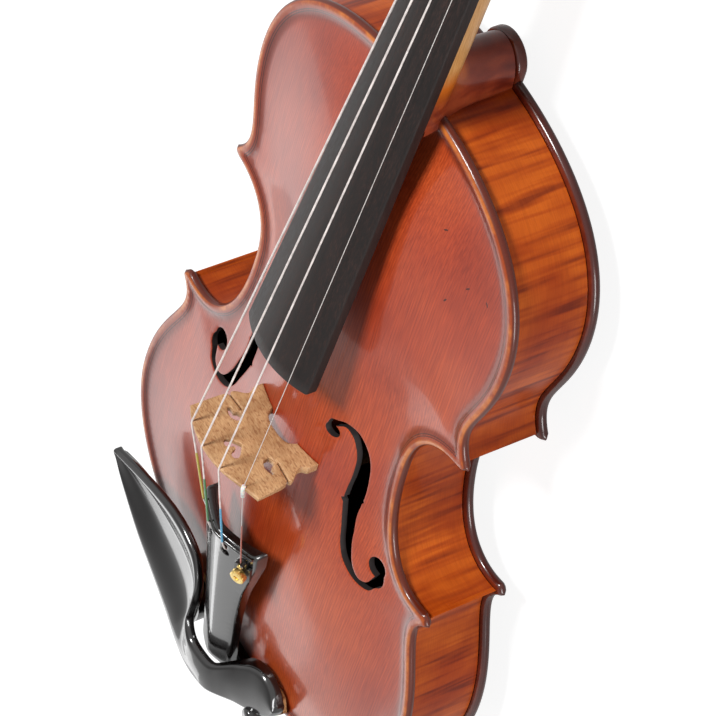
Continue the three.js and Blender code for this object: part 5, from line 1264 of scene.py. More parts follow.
def heelShell():
    rows = np.array(heel["rows"])
    low = -ribDepth(neck["bodyEnd"]) + body["glue"]
    high = float(neckPlane(neck["bodyEnd"])) + neck["topRise"]
    rings = []
    for rise in np.concatenate([[0], np.linspace(0.02, 0.86, 26)]):
        flare, spread = follow(rows[:, [0, 1]], rise), follow(rows[:, [0, 2]], rise)
        half = neck["widthBody"] / 2 * spread
        tip = neck["bodyEnd"] + heel["tip"] + flare * heel["flare"]
        angle = np.linspace(0, math.pi, 41)
        bend = np.sin(angle) ** 0.8
        y = heel["root"] + (tip - heel["root"]) * bend
        z = low + (high + heel["over"] - low) * rise
        z = np.minimum(z, neckPlane(y) + heel["under"])
        rings.append(np.column_stack([half * np.cos(angle), y, z]))
    return loft(rings)


# Varnish ends in a soft line past the heel and starts again at the pegbox
filmEnds = {"heel": 381, "heelFade": 18, "box": 484, "boxFade": 8, "deep": 11.5, "deepFade": 7, "deepTo": 420}


def makeNeck():
    e = filmEnds
    points, faces = joined([heelShell(), shaftShell(), pegboxShell(), voluteShell(), eyeShell()])
    y = points[:, 1]
    deep = neckPlane(y) - points[:, 2]
    film = np.clip((e["heel"] - y) / e["heelFade"], 0, 1) + np.clip((y - e["box"]) / e["boxFade"], 0, 1)
    film = np.maximum(film, np.clip((deep - e["deep"]) / e["deepFade"], 0, 1) * (y < e["deepTo"]))
    marks = {"film": film, "run": points[:, [1, 0, 2]] * mm}
    makePiece("neckAndScroll", points, faces, neckMaple, stands=["neck_and_scroll"],
              angle=38, marks=marks)


makeFingerboard()
makeNut()
makeNeck()
print("neck, head and fingerboard carved")

# Strings: from the tailpiece over the bridge and the nut to their pegs
strings = {
    "names": ["g", "d", "a", "e"],
    "radii": [0.42, 0.4, 0.36, 0.15],
    "atTail": [-15.4, -5.4, 5.6],
    "atBridge": [-17.7, -6.2, 5.6, 17.1],
    "atNut": [-8.2, -2.75, 2.75, 8.2],
    "overBoard": [5.4, 4.6, 3.9, 3.1],
    "silk": [(104.5, 141), (104.5, 139), (104.5, 133), (100, 134)],  # y where the wrap starts and ends
    "silkThick": [0.09, 0.09, 0.09, 0.16],
    "silkTaper": 0.08,
    "lift": 0.3,
    "bridgeY": 162.9056,
    "slotY": 97.4,
    "fretY": 106.0,
}
pegs = {
    "stations": [0.151, 0.4057, 0.533, 0.2783], "sides": [-1, -1, 1, 1], "starts": [-1.2, -0.3, 0.5, 1],
    "radius": 3.5, "tip": 2.9, "collar": 5.2, "collarWidth": 3, "headGap": 10, "drop": 0.42, "overshoot": 1,
    "thumbLength": 17, "thumbWidth": 21, "thumbThick": 6.5, "turns": 3, "pitch": 1.15, "lift": 0.35,
    # Rows: share of the thumb piece's length, its width and its thickness there
    "thumb": [
        (0, 0.3, 0.8), (0.2, 0.62, 0.75), (0.45, 0.95, 0.8), (0.7, 1, 1), (0.9, 0.75, 0.8), (1, 0.3, 0.4),
    ],
}


def pegPlace(i):
    # Place along the head and height, half the head's width there, and the side of the thumb piece
    station = pegs["stations"][i] * head["length"]
    share = station / head["run"]
    top, low = float(cheekTop(share)), float(headUnder(share))
    return neck["nutY"] + station, top + (low - top) * pegs["drop"], float(headHalf(share)), pegs["sides"][i]


def nutTop(x):
    return float(boardTop(x, neck["nutY"])) + neck["nutRise"]


def bridgeStringHeight(i):
    # Over the bridge, from its height over the end of the fingerboard
    end = neck["nutY"] - neck["boardLength"]
    start = nutTop(strings["atNut"][i]) + strings["radii"][i] + strings["lift"]
    share = (neck["nutY"] - end) / (neck["nutY"] - strings["bridgeY"])
    x = strings["atNut"][i] + (strings["atBridge"][i] - strings["atNut"][i]) * share
    return start + (float(boardTop(x, end)) + strings["overBoard"][i] - start) / share


# Tailpiece: a tapering arched board with a hollow under it, three keyholes and a fret
tailpiece = {
    "tailY": 5.4, "length": 103, "headWidth": 39, "tailWidth": 21.5, "headHeight": 34.2, "tailHeight": 17.5,
    "ridge": 7, "wall": 4, "thick": 7.5, "keyhole": 1.9, "slot": 1.5, "fretWidth": 1.6, "fretRise": 1.2,
    "widths": [(0, 0), (0.35, 0.06), (0.6, 0.28), (0.8, 0.72), (0.92, 0.97), (1, 1)],
    "crownHalf": 18, "crownBow": 0.35, "lip": 1.1, "holeLip": 0.35, "fretHalf": 18.6,
}


def tailShare(y):
    return np.clip((np.asarray(y, float) - tailpiece["tailY"]) / tailpiece["length"], 0, 1)


def tailHalf(y):
    t = tailpiece
    return (t["tailWidth"] + (t["headWidth"] - t["tailWidth"]) * follow(t["widths"], tailShare(y))) / 2


def tailSurface(x, y):
    t = tailpiece
    share, half = tailShare(y), tailHalf(y)
    top = t["tailHeight"] + (t["headHeight"] - t["tailHeight"]) * share
    out = np.clip(np.abs(x) / half, 0, 1.02)
    return top - t["ridge"] * half / (t["headWidth"] / 2) * (0.35 * out + 0.65 * out**1.6)


def makeTailpiece():
    t = tailpiece
    headEnd, slit = t["tailY"] + t["length"], t["slot"] / 2
    ys = np.linspace(t["tailY"], headEnd, 70)
    side = np.column_stack([tailHalf(ys), ys])
    side[0, 0] -= 1.2
    side[-1, 0] -= 0.8
    wide, bow = t["crownHalf"], t["crownBow"]
    crown = [(x, headEnd + bow * (1 - (x / wide) ** 2) - bow) for x in np.linspace(wide, -wide, 30)]
    outline = np.concatenate([side, crown, side[::-1] * mirror])
    loops = [resampled(outline, 0.9)]
    start = math.asin(slit / t["keyhole"])
    angle = np.linspace(math.pi / 2 + start, math.pi / 2 - start + 2 * math.pi, 30)
    far = headEnd - 2 * t["fretWidth"] - 0.3
    for x in strings["atTail"]:
        place = np.array([x, strings["slotY"]])
        hole = [place + t["keyhole"] * np.array([math.cos(a), math.sin(a)]) for a in angle]
        loops.append(resampled(np.array([*hole, (x + slit, far), (x - slit, far)]), 0.35))
    verts, faces, dist = plankPiece(loops, 2.0, [0.12, 0.35, 0.7, 1.2])
    x, y = verts[:, 0], verts[:, 1]
    surface, out = tailSurface(x, y), np.clip(np.abs(x) / tailHalf(y), 0, 1)
    over = surface - roundedDrop(distanceTo(verts, loops[0]), t["lip"]) - roundedDrop(dist, t["holeLip"])
    deep = t["thick"] * (0.5 + 0.3 * tailShare(y))
    under = surface - t["wall"] - (deep - t["wall"]) * out**3
    points, every = boardFrom(verts, faces, over, under)
    makePiece("tailpiece", points, every, polishedEbony, stands=["tailpiece"], angle=42)
    xs = np.linspace(t["fretHalf"], -t["fretHalf"], 41)
    seat = tailSurface(xs, strings["fretY"])
    rings = []
    for dy, sink in ((-0.8, 0.5), (-0.55, 0.12), (0, 0), (0.55, 0.12), (0.8, 0.5)):
        y = strings["fretY"] + dy
        high, low = rowAt(xs, y, seat + t["fretRise"] - sink), rowAt(xs, y, seat - t["fretRise"])
        rings.append(np.concatenate([high, low[::-1]]))
    points, faces = loft(rings)
    makePiece("tailpieceFret", points, faces, polishedEbony, stands=["tailpiece_fret"],
              angle=50)


makeTailpiece()

# Fine tuner: its own axes on the tailpiece, rolled towards the treble side
tuner = {
    "seat": (15.0, 97.4, 27.247),
    "across": (0.92316, 0.06152, -0.37946),
    "along": (0.0, 0.98711, 0.16005),
    "up": (0.38441, -0.14775, 0.91126),
    "setback": 2.2, "knobFoot": 2.55, "knobHeight": 3.0, "knobRadius": 3.3, "teeth": 26, "toothDepth": 0.22,
    "screwRadius": 0.9, "screwLow": -3.2, "screwHigh": 4.95, "hole": 1.2,
    "ballForward": 4.5, "ballRise": 3.2, "ballRadius": 1.15, "stringForward": 6.5,
}


def onTuner(across, along, up):
    axes = np.array([tuner["across"], tuner["along"], tuner["up"]])
    return np.array(tuner["seat"]) + np.array([across, along, up]) @ axes


def makeTuner():
    t = tuner
    foot, high, r, hole = t["knobFoot"], t["knobFoot"] + t["knobHeight"], t["knobRadius"], t["hole"]
    centre = onTuner(0, -t["setback"], 0)
    # Rows: radius, height, share of the teeth's depth
    rows = [
        (hole, foot, 0), (r - 0.5, foot, 0), (r - 0.12, foot + 0.15, 0.6), (r, foot + 0.4, 1),
        (r, high - 0.5, 1), (r - 0.1, high - 0.2, 0.6), (r - 0.4, high, 0), (r - 1.2, high + 0.04, 0),
        (hole + 0.2, high, 0), (hole, high - 0.2, 0),
    ]
    spokes = t["teeth"] * 4
    points, faces = lathe([row[:2] for row in rows], spokes, centre, t["up"], hollow=True)
    out = points - centre
    out -= np.outer(out @ np.array(t["up"]), t["up"])
    length = np.linalg.norm(out, axis=1)[:, None]
    between = np.arange(len(points)) % spokes % 4 == 2
    depth = t["toothDepth"] * np.repeat([row[2] for row in rows], spokes) * between
    points = points - out / length * depth[:, None]
    makePiece("tunerKnob", points, faces, goldPlate, "tuner_knob_body", ["tuner_knob"], 30)
    s, low, top = t["screwRadius"], t["screwLow"], t["screwHigh"]
    profile = [[0, low], [s - 0.2, low], [s, low + 0.3], [s, top - 0.2], [s - 0.2, top], [0, top]]
    points, faces = lathe(profile, 32, centre, t["up"])
    makePiece("tunerScrew", points, faces, goldPlate, "tuner_screw_body", ["tuner_screw"], 30)
    # The ball at the string's end is a short barrel that lies across the hook
    b = t["ballRadius"]
    half = [(0, 1), (0.55, 1), (0.85, 0.85), (1, 0.45)]
    profile = [*[(b * x, -b * h) for x, h in half], (b * 0.93, 0), *[(b * x, b * h) for x, h in half[::-1]]]
    points, faces = lathe(profile, 32, onTuner(0, t["ballForward"], t["ballRise"]), t["across"])
    makePiece("stringBall", points, faces, goldPlate, "tuner_lever_body", ["e_string_ball"], 40)


makeTuner()
print("tailpiece and tuner made")


def stringRoute(i):
    # Three stretches of one string: out of the tailpiece, over bridge and nut, down to the peg
    s = strings
    radius, lift = s["radii"][i], s["radii"][i] + 0.06
    y, z = pegPlace(i)[:2]
    reach = pegs["radius"] + radius + pegs["lift"]
    stop = math.sqrt((reach + radius + s["lift"]) ** 2 - (reach - radius) ** 2) + s["lift"]
    nutX, nutY, peg = s["atNut"][i], neck["nutY"], pegs["starts"][i]
    if i == 3:
        start = [onTuner(0, tuner["stringForward"], tuner["ballRise"])]
    else:
        x, slot, fret = s["atTail"][i], s["slotY"], s["fretY"]
        atSlot, atFret = float(tailSurface(x, slot)), float(tailSurface(x, fret))
        start = [
            (x, slot - 0.6, atSlot - 3.4),
            (x, slot + 0.7, atSlot - 1.2),
            (x, slot + 2.2, atSlot + lift),
            (x, fret, atFret + tailpiece["fretRise"] + lift),
        ]
    over = nutTop(nutX) + lift
    middle = [(s["atBridge"][i], s["bridgeY"], bridgeStringHeight(i)), (nutX, nutY - 0.2, over)]
    toPeg = [
        (nutX, nutY + 1, over - 0.02),
        (nutX, nutY + neck["nutLength"] - 0.5, over - 1.6),
        (nutX * 0.1 + peg * 0.9, y - stop - radius, z + reach),
        (peg, y - stop, z + reach),
    ]
    return [[np.array(p, float) for p in stretch] for stretch in (start, middle, toPeg)]


def eased(route, corner):
    # Rounds each bend of a taut string over a short length
    out = [route[0]]
    for a, b, c in zip(route, route[1:], route[2:]):
        cut = min(corner, np.linalg.norm(b - a) * 0.45, np.linalg.norm(c - b) * 0.45)
        p = b + (a - b) / np.linalg.norm(a - b) * cut
        q = b + (c - b) / np.linalg.norm(c - b) * cut
        out += [p * (1 - t) ** 2 + b * 2 * t * (1 - t) + q * t**2 for t in (0, 0.25, 0.5, 0.75, 1)]
    return np.array(out + [route[-1]])


def makeStrings():
    for i, name in enumerate(strings["names"]):
        start, middle, end = stringRoute(i)
        radius = strings["radii"][i]
        points, faces = tube(eased(start + middle + end, 1.5), radius, 16)
        material = plainSteel if i == 3 else woundSilver
        makePiece(f"{name}String", points, faces, material, stands=[f"{name}_string"], angle=60)
        # Silk lies round the straight stretch between the tailpiece and the bridge
        low, high = strings["silk"][i]
        tail, run = start[-1], middle[0] - start[-1]
        ys = np.linspace(max(low, tail[1]), high, 24)
        radii = np.full(len(ys), radius + strings["silkThick"][i])
        radii[[0, -1]] -= strings["silkTaper"]
        points, faces = tube([tail + run * (y - tail[1]) / run[1] for y in ys], radii, 16)
        makePiece(f"{name}StringSilk", points, faces, silks[i], angle=60)
        # The turns climb the peg towards its head, and ride with it
        y, z, _, side = pegPlace(i)
        reach = pegs["radius"] + radius + pegs["lift"]
        turns = np.linspace(-radius / reach / math.pi, pegs["turns"], pegs["turns"] * 44)
        angle = 2 * math.pi * turns
        climb = pegs["starts"][i] + side * pegs["pitch"] * np.maximum(turns, 0)
        route = np.column_stack([climb, y + reach * np.sin(angle), z + reach * np.cos(angle)])
        points, faces = tube(route, radius, 10)
        makePiece(f"{name}Winding", points, faces, silks[i], f"{name}_peg_and_turns", [f"{name}_winding"],
                  60)


makeStrings()


def makePegs():
    p = pegs
    for i, name in enumerate(strings["names"]):
        y, z, half, side = pegPlace(i)
        collar, thumb = half + p["headGap"] - p["collarWidth"], half + p["headGap"]
        tip = -half - p["overshoot"]
        slope = lambda h: p["tip"] + (p["radius"] - p["tip"]) * (h - tip) / (collar - tip)
        r, wide = p["radius"], p["collar"]
        profile = [
            (0, tip), (p["tip"] - 0.9, tip + 0.06), (p["tip"] - 0.3, tip + 0.35),
            (slope(tip + 0.9), tip + 0.9),
            *[(slope(h), h) for h in np.linspace(tip + 2, collar - 1.2, 14)],
            (r + 0.1, collar - 0.5), (wide - 0.5, collar - 0.1), (wide, collar + 0.4), (wide, thumb - 1.4),
            (wide - 0.35, thumb - 0.9), (r * 0.98, thumb - 0.4), (r * 0.84, thumb), (r * 0.8, thumb + 1.6),
            (0, thumb + 2.2),
        ]
        stem = lathe(profile, 40, (0, y, z), (side, 0, 0))
        rows, angle = np.array(p["thumb"]), aroundCircle(36)
        rings = []
        for run in np.concatenate([[0], (1 - np.cos(np.linspace(0.25, math.pi, 30))) / 2]):
            wide, thick = follow(rows[:, [0, 1]], run), follow(rows[:, [0, 2]], run)
            end = math.sqrt(max(0.02, 1 - max(0, (run - 0.86) / 0.14) ** 2))
            out = 0.5 * p["thumbThick"] * thick * end * np.cos(angle)
            across = 0.5 * p["thumbWidth"] * wide * (0.35 + 0.65 * end) * np.sin(angle)
            # Each side of the thumb piece is dished a little
            out = out * (1 - 0.3 * np.exp(-((across / (0.26 * p["thumbWidth"])) ** 2)) * min(1, 3 * run))
            x = side * (thumb + run * p["thumbLength"])
            rings.append(np.column_stack([np.full(36, x), y + across, z + out]))
        points, faces = joined([stem, loft(rings)])
        makePiece(f"{name}Peg", points, faces, polishedEbony, f"{name}_peg_and_turns", [f"{name}_peg"],
                  38)


makePegs()
print("strings and pegs made")

# Bridge: one pierced plate of maple, thin at the top, its feet fitted to the arch
bridge = {
    "foot": 4.5, "top": 1.4, "topHalf": 24.3, "base": 15.5, "topAt": 46, "drops": (2.9, 2.5), "edge": 0.3,
    "arch": [(0, 19.4), (3, 19.3), (6, 18.6), (8, 17.2), (9.1, 15.4)],
    "ankle": [
        (20.9, 16.3), (20.5, 17.1), (19.7, 18.1), (19.3, 19.5), (19.8, 20.9), (21, 22.4), (22.3, 23.9),
        (22.9, 25.3),
    ],
    "slit": [(22.2, 26.15), (13.7, 25.65), (13.45, 25.95), (13.7, 26.25), (22.2, 26.85)],
    "shoulder": [(22.9, 27.6), (23.4, 30), (23.8, 34)],
    "heart": [
        (0, 33.8), (1.9, 35.1), (3.9, 36.7), (4.8, 38.2), (4.2, 39.4), (2.5, 39.8), (1.2, 38.7), (0.5, 36.9),
    ],
    "kidney": [
        (10.2, 30.2), (9.9, 27.9), (11.7, 26.95), (13.6, 27.7), (14.3, 29), (16.7, 29.2), (17.3, 30.2),
        (15.4, 31.1), (12.7, 31.5),
    ],
}


# The clear sleeve on the bridge: how far it reaches to the tail and to the nut
sleeve = {"radius": 0.84, "endRadius": 0.72, "toTail": 6, "toNut": 1.6}


def bridgeLoops():
    b = bridge
    y = strings["bridgeY"]
    rows = zip(strings["atBridge"], strings["radii"])
    seats = [(x, bridgeStringHeight(i) - r / 2) for i, (x, r) in enumerate(rows)]
    bassEnd = (-b["topHalf"], seats[0][1] - b["drops"][0])
    crown = planCurve([bassEnd, *seats, (b["topHalf"], seats[3][1] - b["drops"][1])], 0.5)

    def side(sign):
        feet = np.array([(x, 0) for x in np.linspace(9.2, 20.9, 14)])
        ground = np.column_stack([sign * feet[:, 0], np.full(14, y)])
        feet[:, 1] = topHeight(ground, np.full(14, 60.0)) + 0.05
        half = np.concatenate([
            planCurve(b["arch"], 0.6), feet, planCurve(b["ankle"], 0.5), np.array(b["slit"]),
            planCurve(b["shoulder"], 0.7),
        ])
        return half * np.array([sign, 1])

    outer = np.concatenate([side(1), crown[::-1], side(-1)[::-1][:-1]])
    heart = np.array(b["heart"])
    heart = closedCurve([*heart, *heart[:0:-1] * mirror], 0.4)
    kidney = closedCurve(b["kidney"], 0.4)
    return [outer, heart, kidney, kidney * mirror]


def makeBridge():
    b = bridge
    verts, faces, dist = plankPiece([dense(l, 0.6) for l in bridgeLoops()], 1.0, [0.1, 0.22, 0.4])
    rise = np.clip((verts[:, 1] - b["base"]) / (b["topAt"] - b["base"]), 0, 1.1)
    thick = b["foot"] + (b["top"] - b["foot"]) * rise
    soft = roundedDrop(dist, b["edge"])
    flat = strings["bridgeY"] - b["top"] / 2
    points, every = boardFrom(verts, faces, flat + thick - soft, flat + soft)
    points = points[:, [0, 2, 1]]
    makePiece("bridge", points, every, bridgeMaple, stands=["bridge"], angle=45)
    # A clear sleeve keeps the thinnest string from cutting in
    along = np.array([strings["atBridge"][3], strings["bridgeY"], bridgeStringHeight(3)])
    tail = onTuner(0, tuner["stringForward"], tuner["ballRise"])
    nose = np.array([strings["atNut"][3], neck["nutY"], nutTop(strings["atNut"][3])])
    low = along + (tail - along) / np.linalg.norm(tail - along) * sleeve["toTail"]
    high = along + (nose - along) / np.linalg.norm(nose - along) * sleeve["toNut"]
    route = eased([low, along, high], 1.0)
    route = np.concatenate([route[:1], route[:1] * 0.97 + route[1:2] * 0.03, route[1:]])
    radii = np.full(len(route), sleeve["radius"])
    radii[0] = sleeve["endRadius"]
    points, faces = tube(route, radii, 24)
    makePiece("stringSleeve", points, faces, sleevePlastic, stands=["e_string_sleeve"],
              angle=50)


makeBridge()
print("bridge cut")

# Chin rest. Rows: front rim x, y; back rim x, y; rim height; depth of the dish
chin = {
    "rows": [
        (-87.6, 41.1, -86.4, 38.3, 20.4, 0.6), (-79.0, 44.4, -80.5, 31.6, 20.4, 2.8),
        (-68.0, 48.3, -71.0, 23.5, 20.4, 4.5), (-55.0, 52.3, -59.0, 14.5, 20.4, 5.6),
        (-42.0, 54.5, -47.0, 7.5, 20.4, 5.6), (-30.0, 53.6, -37.0, 2.3, 20.6, 5.6),
        (-20.5, 49.5, -29.0, -1.5, 21.0, 5.3), (-14.6, 40.0, -23.0, -3.8, 21.7, 4.5),
        (-13.0, 28.0, -17.5, -5.2, 22.5, 2.8), (-12.3, 17.0, -12.0, -6.0, 23.2, 1.4),
        (-7.0, 11.2, -6.0, -6.2, 23.9, 0.6), (2.0, 10.8, 2.0, -6.0, 24.2, 0.0),
        (10.0, 12.5, 12.0, -5.0, 23.1, 0.0), (16.0, 18.0, 20.9, -3.5, 18.9, 0.0),
        (22.5, 23.5, 30.0, -0.5, 15.6, 0.0), (30.0, 25.5, 37.1, 4.0, 13.9, 0.0),
        (37.1, 22.5, 41.0, 10.0, 13.0, 0.0), (41.0, 17.5, 42.0, 14.0, 12.6, 0.0),
    ],
    "rim": 3.0, "lip": 2.2, "shell": 4.4, "bottom": 6.4, "footFrom": 9.0, "hump": 1.2,
    "lugRadius": 3.6, "postX": 31.0, "postY": -1.4,
    "bassFoot": [
        (-44, 6.6), (-40.9, 2.6), (-31, -0.4), (-19.3, -1.8), (-18, 9.9), (-24.5, 17.2), (-38.8, 16.5),
    ],
    # Height and share of the foot's plan, from its pad up into the shell
    "footLevels": [(6.4, 0.96), (6.7, 0.99), (7.2, 1.0), (12.2, 1.0)],
    "lugBore": 1.75,
}


def chinRing(row):
    fx, fy, bx, by, rim, dish = row
    front, back = np.array([fx, fy]), np.array([bx, by])
    wide = np.linalg.norm(back - front)
    s = (1 - np.cos(np.linspace(0, math.pi, 49))) / 2
    away = np.minimum(s, 1 - s) * wide
    flat, reach = 0.6 * chin["rim"], wide * 0.42
    drop = roundedDrop(away, min(chin["lip"], reach))
    inner = np.clip((away - flat) / max(reach - flat, 0.5), 0, 1)
    bowl = (1 - np.cos(inner * math.pi)) / 2
    foot = np.clip((fx - chin["footFrom"]) / 8, 0, 1)
    crest = chin["hump"] * np.sin(math.pi * s) * np.clip((rim - 22) / 2, 0, 1)
    top = rim - dish * bowl + (crest - 2.2 * foot * (2 * s - 1) ** 2)
    under = top - chin["shell"] + drop * 0.8
    under = under + (chin["bottom"] + drop * 0.4 - under) * foot
    place = front + (back - front) * s[:, None]
    over = np.column_stack([place, top - drop])
    low = np.column_stack([place, np.minimum(np.maximum(under, chin["bottom"]), top - drop - 0.05)])
    return np.concatenate([over, low[::-1]])


def makeChinRest():
    rows = smoothRoute([np.array(r) for r in chin["rows"]], 1.3)
    boss = closedCurve(chin["bassFoot"], 1.0)
    centre = boss.mean(0)
    levels = [
        np.column_stack([centre + (boss - centre) * grow, np.full(len(boss), z)])
        for z, grow in chin["footLevels"]
    ]
    parts = [loft([chinRing(r) for r in rows]), loft(levels)]
    r = chin["lugRadius"]
    profile = [
        (chin["lugBore"], 6.4), (r - 0.4, 6.4), (r, 6.9), (r, 14.6), (r - 0.5, 15.4), (r - 1.4, 15.8),
        (0, 15.9),
    ]
    for sign in (1, -1):
        parts.append(lathe(profile, 40, (sign * chin["postX"], chin["postY"], 0), (0, 0, 1)))
    points, faces = joined(parts)
    makePiece("chinRest", points, faces, polishedEbony, stands=["chinrest"], angle=50)


makeChinRest()

# Clamp: turned barrels on threaded posts, drawn together under the rim
clamp = {
    "post": 1.45, "barrel": 2.8, "bore": 0.3, "high": -3.0, "low": -25.0, "threadEnd": -11.5, "postTop": 11.2,
    "rings": 6, "ringHalf": 0.35, "ringDepth": 0.22,
}


def makeClamp():
    c = clamp
    low, high, r, p, bore = c["low"], c["high"], c["barrel"], c["post"], c["post"] + c["bore"]
    barrel = [(bore, low), (r - 0.5, low), (r, low + 0.5)]
    for z in np.linspace(low + 2, high - 2, c["rings"]):
        barrel += [(r, z - c["ringHalf"]), (r - c["ringDepth"], z), (r, z + c["ringHalf"])]
    barrel += [(r, high - 0.5), (r - 0.5, high), (bore, high)]
    end, top = c["threadEnd"], c["postTop"]
    post = [(0, end), (p - 0.3, end), (p, end + 0.4), (p, top), (0, top)]
    for sign, name in ((1, "treble"), (-1, "bass")):
        place = (sign * chin["postX"], chin["postY"], 0)
        points, faces = lathe(barrel, 48, place, (0, 0, 1), hollow=True)
        makePiece(f"clampBarrel{name.title()}", points, faces, goldPlate, f"barrel_{name}",
                  [f"clamp_barrel_{name}"], 30)
        points, faces = lathe(post, 32, place, (0, 0, 1))
        makePiece(f"clampPost{name.title()}", points, faces, goldThread, stands=[f"clamp_post_{name}"],
                  angle=30)


makeClamp()

# End button and the tailgut round it
ending = {
    "buttonZ": -15.75, "buttonFace": 2.4, "head": 7.2, "long": 8.5, "groove": 4.2, "pin": 3.6, "pinLong": 22,
    "gut": 1.0, "gutOffset": 4.0,
    "gutBends": [(9.4, 13.15), (5.4, 12.5), (2.7, 10.6), (0, 9.5), (-1.3, 7), (-1.6, 4), (-1.5, -1.2)],
}


def makeEnd():
    e = ending
    r, g, l, pin = e["head"], e["groove"], e["long"], e["pin"]
    profile = [
        (0, -l), (r * 0.3, -l + 0.02), (r * 0.62, -l * 0.98), (r * 0.85, -l * 0.9), (r * 0.97, -l * 0.8),
        (r, -l * 0.7), (r * 0.98, -l * 0.58), (r * 0.85, -l * 0.5), (g + 0.5, -l * 0.4), (g, -l * 0.33),
        (g, -l * 0.17), (g + 0.6, -l * 0.09), (r * 0.78, -0.5), (r * 0.8, -0.2), (r * 0.8, 0),
        (pin, 0.02), (pin * 0.92, e["pinLong"]), (0, e["pinLong"]),
    ]
    points, faces = lathe(profile, 56, (0, e["buttonFace"], e["buttonZ"]), (0, 1, 0))
    makePiece("endButton", points, faces, polishedEbony, stands=["end_button"], angle=30)
    # The gut leaves the tailpiece, bends over the saddle and lies in the button's groove
    wide, line, x = g + 2 * e["gut"], e["buttonFace"] - l / 4, e["gutOffset"]
    side = [(x, y, z) for y, z in e["gutBends"]] + [(wide, line, e["buttonZ"] / 2)]
    arc = np.linspace(0, math.pi, 13)
    turn = [(wide * math.cos(a), line, e["buttonZ"] - wide * math.sin(a)) for a in arc]
    route = smoothRoute([*side, *turn, *[(-px, py, pz) for px, py, pz in side[::-1]]], 0.8)
    points, faces = tube(route, e["gut"], 20)
    makePiece("tailgut", points, faces, gutPlastic, stands=["tailgut"], angle=60)


makeEnd()
print("chin rest, clamp and end button made")

# CAD nodes kept as they are: a finish, and a small bevel where an edge would catch the light
kept = {
    "bare_spruce": (bareSpruce, 0.0, ["bass_bar", "sound_post"]),
    "linings": (bareSpruce, 0.3, [
        f"{bout}_{plate}_lining_{side}" for bout in ("lower", "upper") for plate in ("top", "back")
        for side in ("treble", "bass")
    ]),
    "blocks": (bareSpruce, 0.6, ["bottom_block", "top_block"] + [
        f"corner_block_{bout}_{side}" for bout in ("lower", "upper") for side in ("treble", "bass")
    ]),
    "saddle": (polishedEbony, 0.8, ["saddle"]),
    "tuner": (blackSteel, 0.15, ["tuner_bracket", "tuner_lever"]),
    "clamp": (goldPlate, 0.3, ["clamp_foot"]),
    "cork": (corkMaterial, 0.3, ["chinrest_cork_bass", "chinrest_cork_treble", "clamp_foot_cork"]),
}


def dressKept():
    for material, bevelMm, names in kept.values():
        for name in names:
            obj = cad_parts[name]
            obj.data.materials.clear()
            obj.data.materials.append(material)
            if bevelMm:
                bevel = obj.modifiers.new("softEdge", "BEVEL")
                bevel.width = bevelMm * mm
                bevel.segments = 3
                bevel.limit_method = "ANGLE"
                bevel.harden_normals = True


dressKept()
print("kept CAD pieces dressed")

# Room: pale floor, soft lamps, white behind
room = {"around": 0.17, "mirror": 0.4, "glow": 0.88, "floorHalf": 6.0}
# Rows: place, target and size in metres, then watts
lamps = {
    "keyLamp": ((-0.16, 1.04, 1.22), (0, -0.1, 0.05), (0.36, 0.36), 31),
    "lowFill": ((1.5, -0.12, 0.24), (0, -0.05, 0.06), (0.7, 0.4), 12.5),
    "tailSoftbox": ((-0.72, -1.15, 0.5), (0, -0.1, 0.08), (0.95, 0.5), 2.3),
}


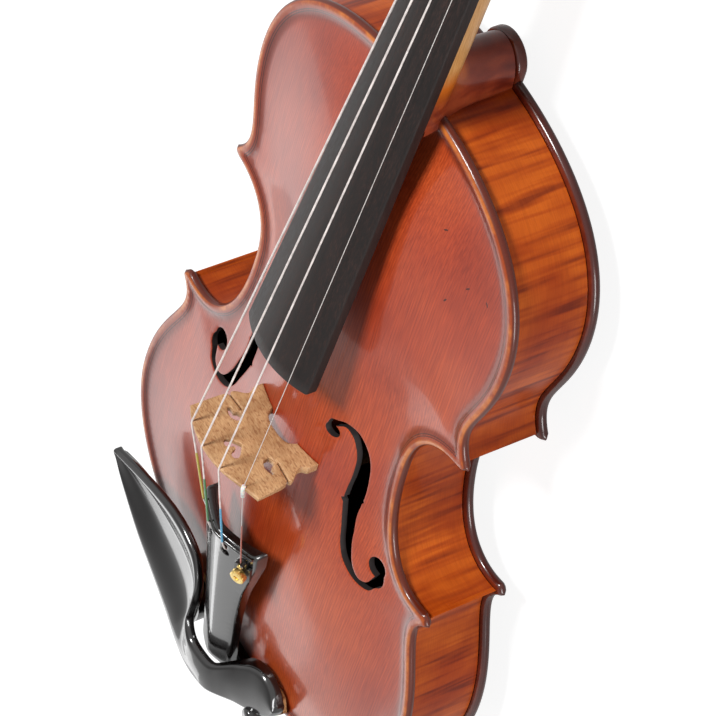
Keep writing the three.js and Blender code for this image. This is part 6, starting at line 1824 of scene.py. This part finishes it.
def makeRoom():
    world = bpy.data.worlds.new("studio")
    bpy.context.scene.world = world
    world.use_nodes = True
    tree = world.node_tree
    tree.nodes.clear()
    path = addNode(tree, "ShaderNodeLightPath")
    seen = arithmetic(tree, "MAXIMUM", path.outputs["Is Camera Ray"], path.outputs["Is Transmission Ray"])
    # Gloss sees the white background too, but the studio above it is dark
    height = addNode(tree, "ShaderNodeSeparateXYZ", inputs={
        0: addNode(tree, "ShaderNodeTexCoord").outputs["Generated"],
    }).outputs["Z"]
    horizon = ramp(tree, height, [(0.0, 1.0), (0.7, 1.0), (1.0, 0.5)])
    gloss = arithmetic(tree, "MULTIPLY", path.outputs["Is Glossy Ray"], horizon)
    around = arithmetic(tree, "MULTIPLY", path.outputs["Is Diffuse Ray"], room["around"])
    strength = arithmetic(tree, "ADD", arithmetic(tree, "MAXIMUM", seen, gloss), around)
    back = addNode(tree, "ShaderNodeBackground", inputs={"Color": (1, 1, 1, 1), "Strength": strength})
    addNode(tree, "ShaderNodeOutputWorld", inputs={"Surface": back.outputs[0]})

    material, tree, bsdf = newMaterial("paleFloor", {"Base Color": linear("#8a8a8a"), "Roughness": 0.9})
    path = addNode(tree, "ShaderNodeLightPath")
    mirrored = arithmetic(tree, "MULTIPLY", path.outputs["Is Glossy Ray"], room["mirror"])
    seen = arithmetic(tree, "MAXIMUM", path.outputs["Is Camera Ray"], mirrored)
    glow = addNode(tree, "ShaderNodeEmission", inputs={
        "Color": (1, 1, 1, 1), "Strength": arithmetic(tree, "MULTIPLY", seen, room["glow"]),
    })
    both = addNode(tree, "ShaderNodeAddShader", inputs={0: bsdf.outputs[0], 1: glow.outputs[0]})
    tree.links.new(both.outputs[0], tree.nodes["Material Output"].inputs[0])
    size = room["floorHalf"]
    mesh = bpy.data.meshes.new("floor")
    corners = [(-size, -size, 0), (size, -size, 0), (size, size, 0), (-size, size, 0)]
    mesh.from_pydata(corners, [], [(0, 1, 2, 3)])
    mesh.materials.append(material)
    floor = bpy.data.objects.new("floor", mesh)
    bpy.context.scene.collection.objects.link(floor)


def makeLamp(name, place, target, size, watts):
    data = bpy.data.lights.new(name, "AREA")
    data.shape = "RECTANGLE"
    data.size, data.size_y = size
    data.energy = watts
    obj = bpy.data.objects.new(name, data)
    obj.location = place
    obj.rotation_euler = (Vector(target) - Vector(place)).to_track_quat("-Z", "Y").to_euler()
    bpy.context.scene.collection.objects.link(obj)


makeRoom()
for lampName, row in lamps.items():
    makeLamp(lampName, *row)
print("room lit")

bpy.context.scene.view_settings.view_transform = "Standard"
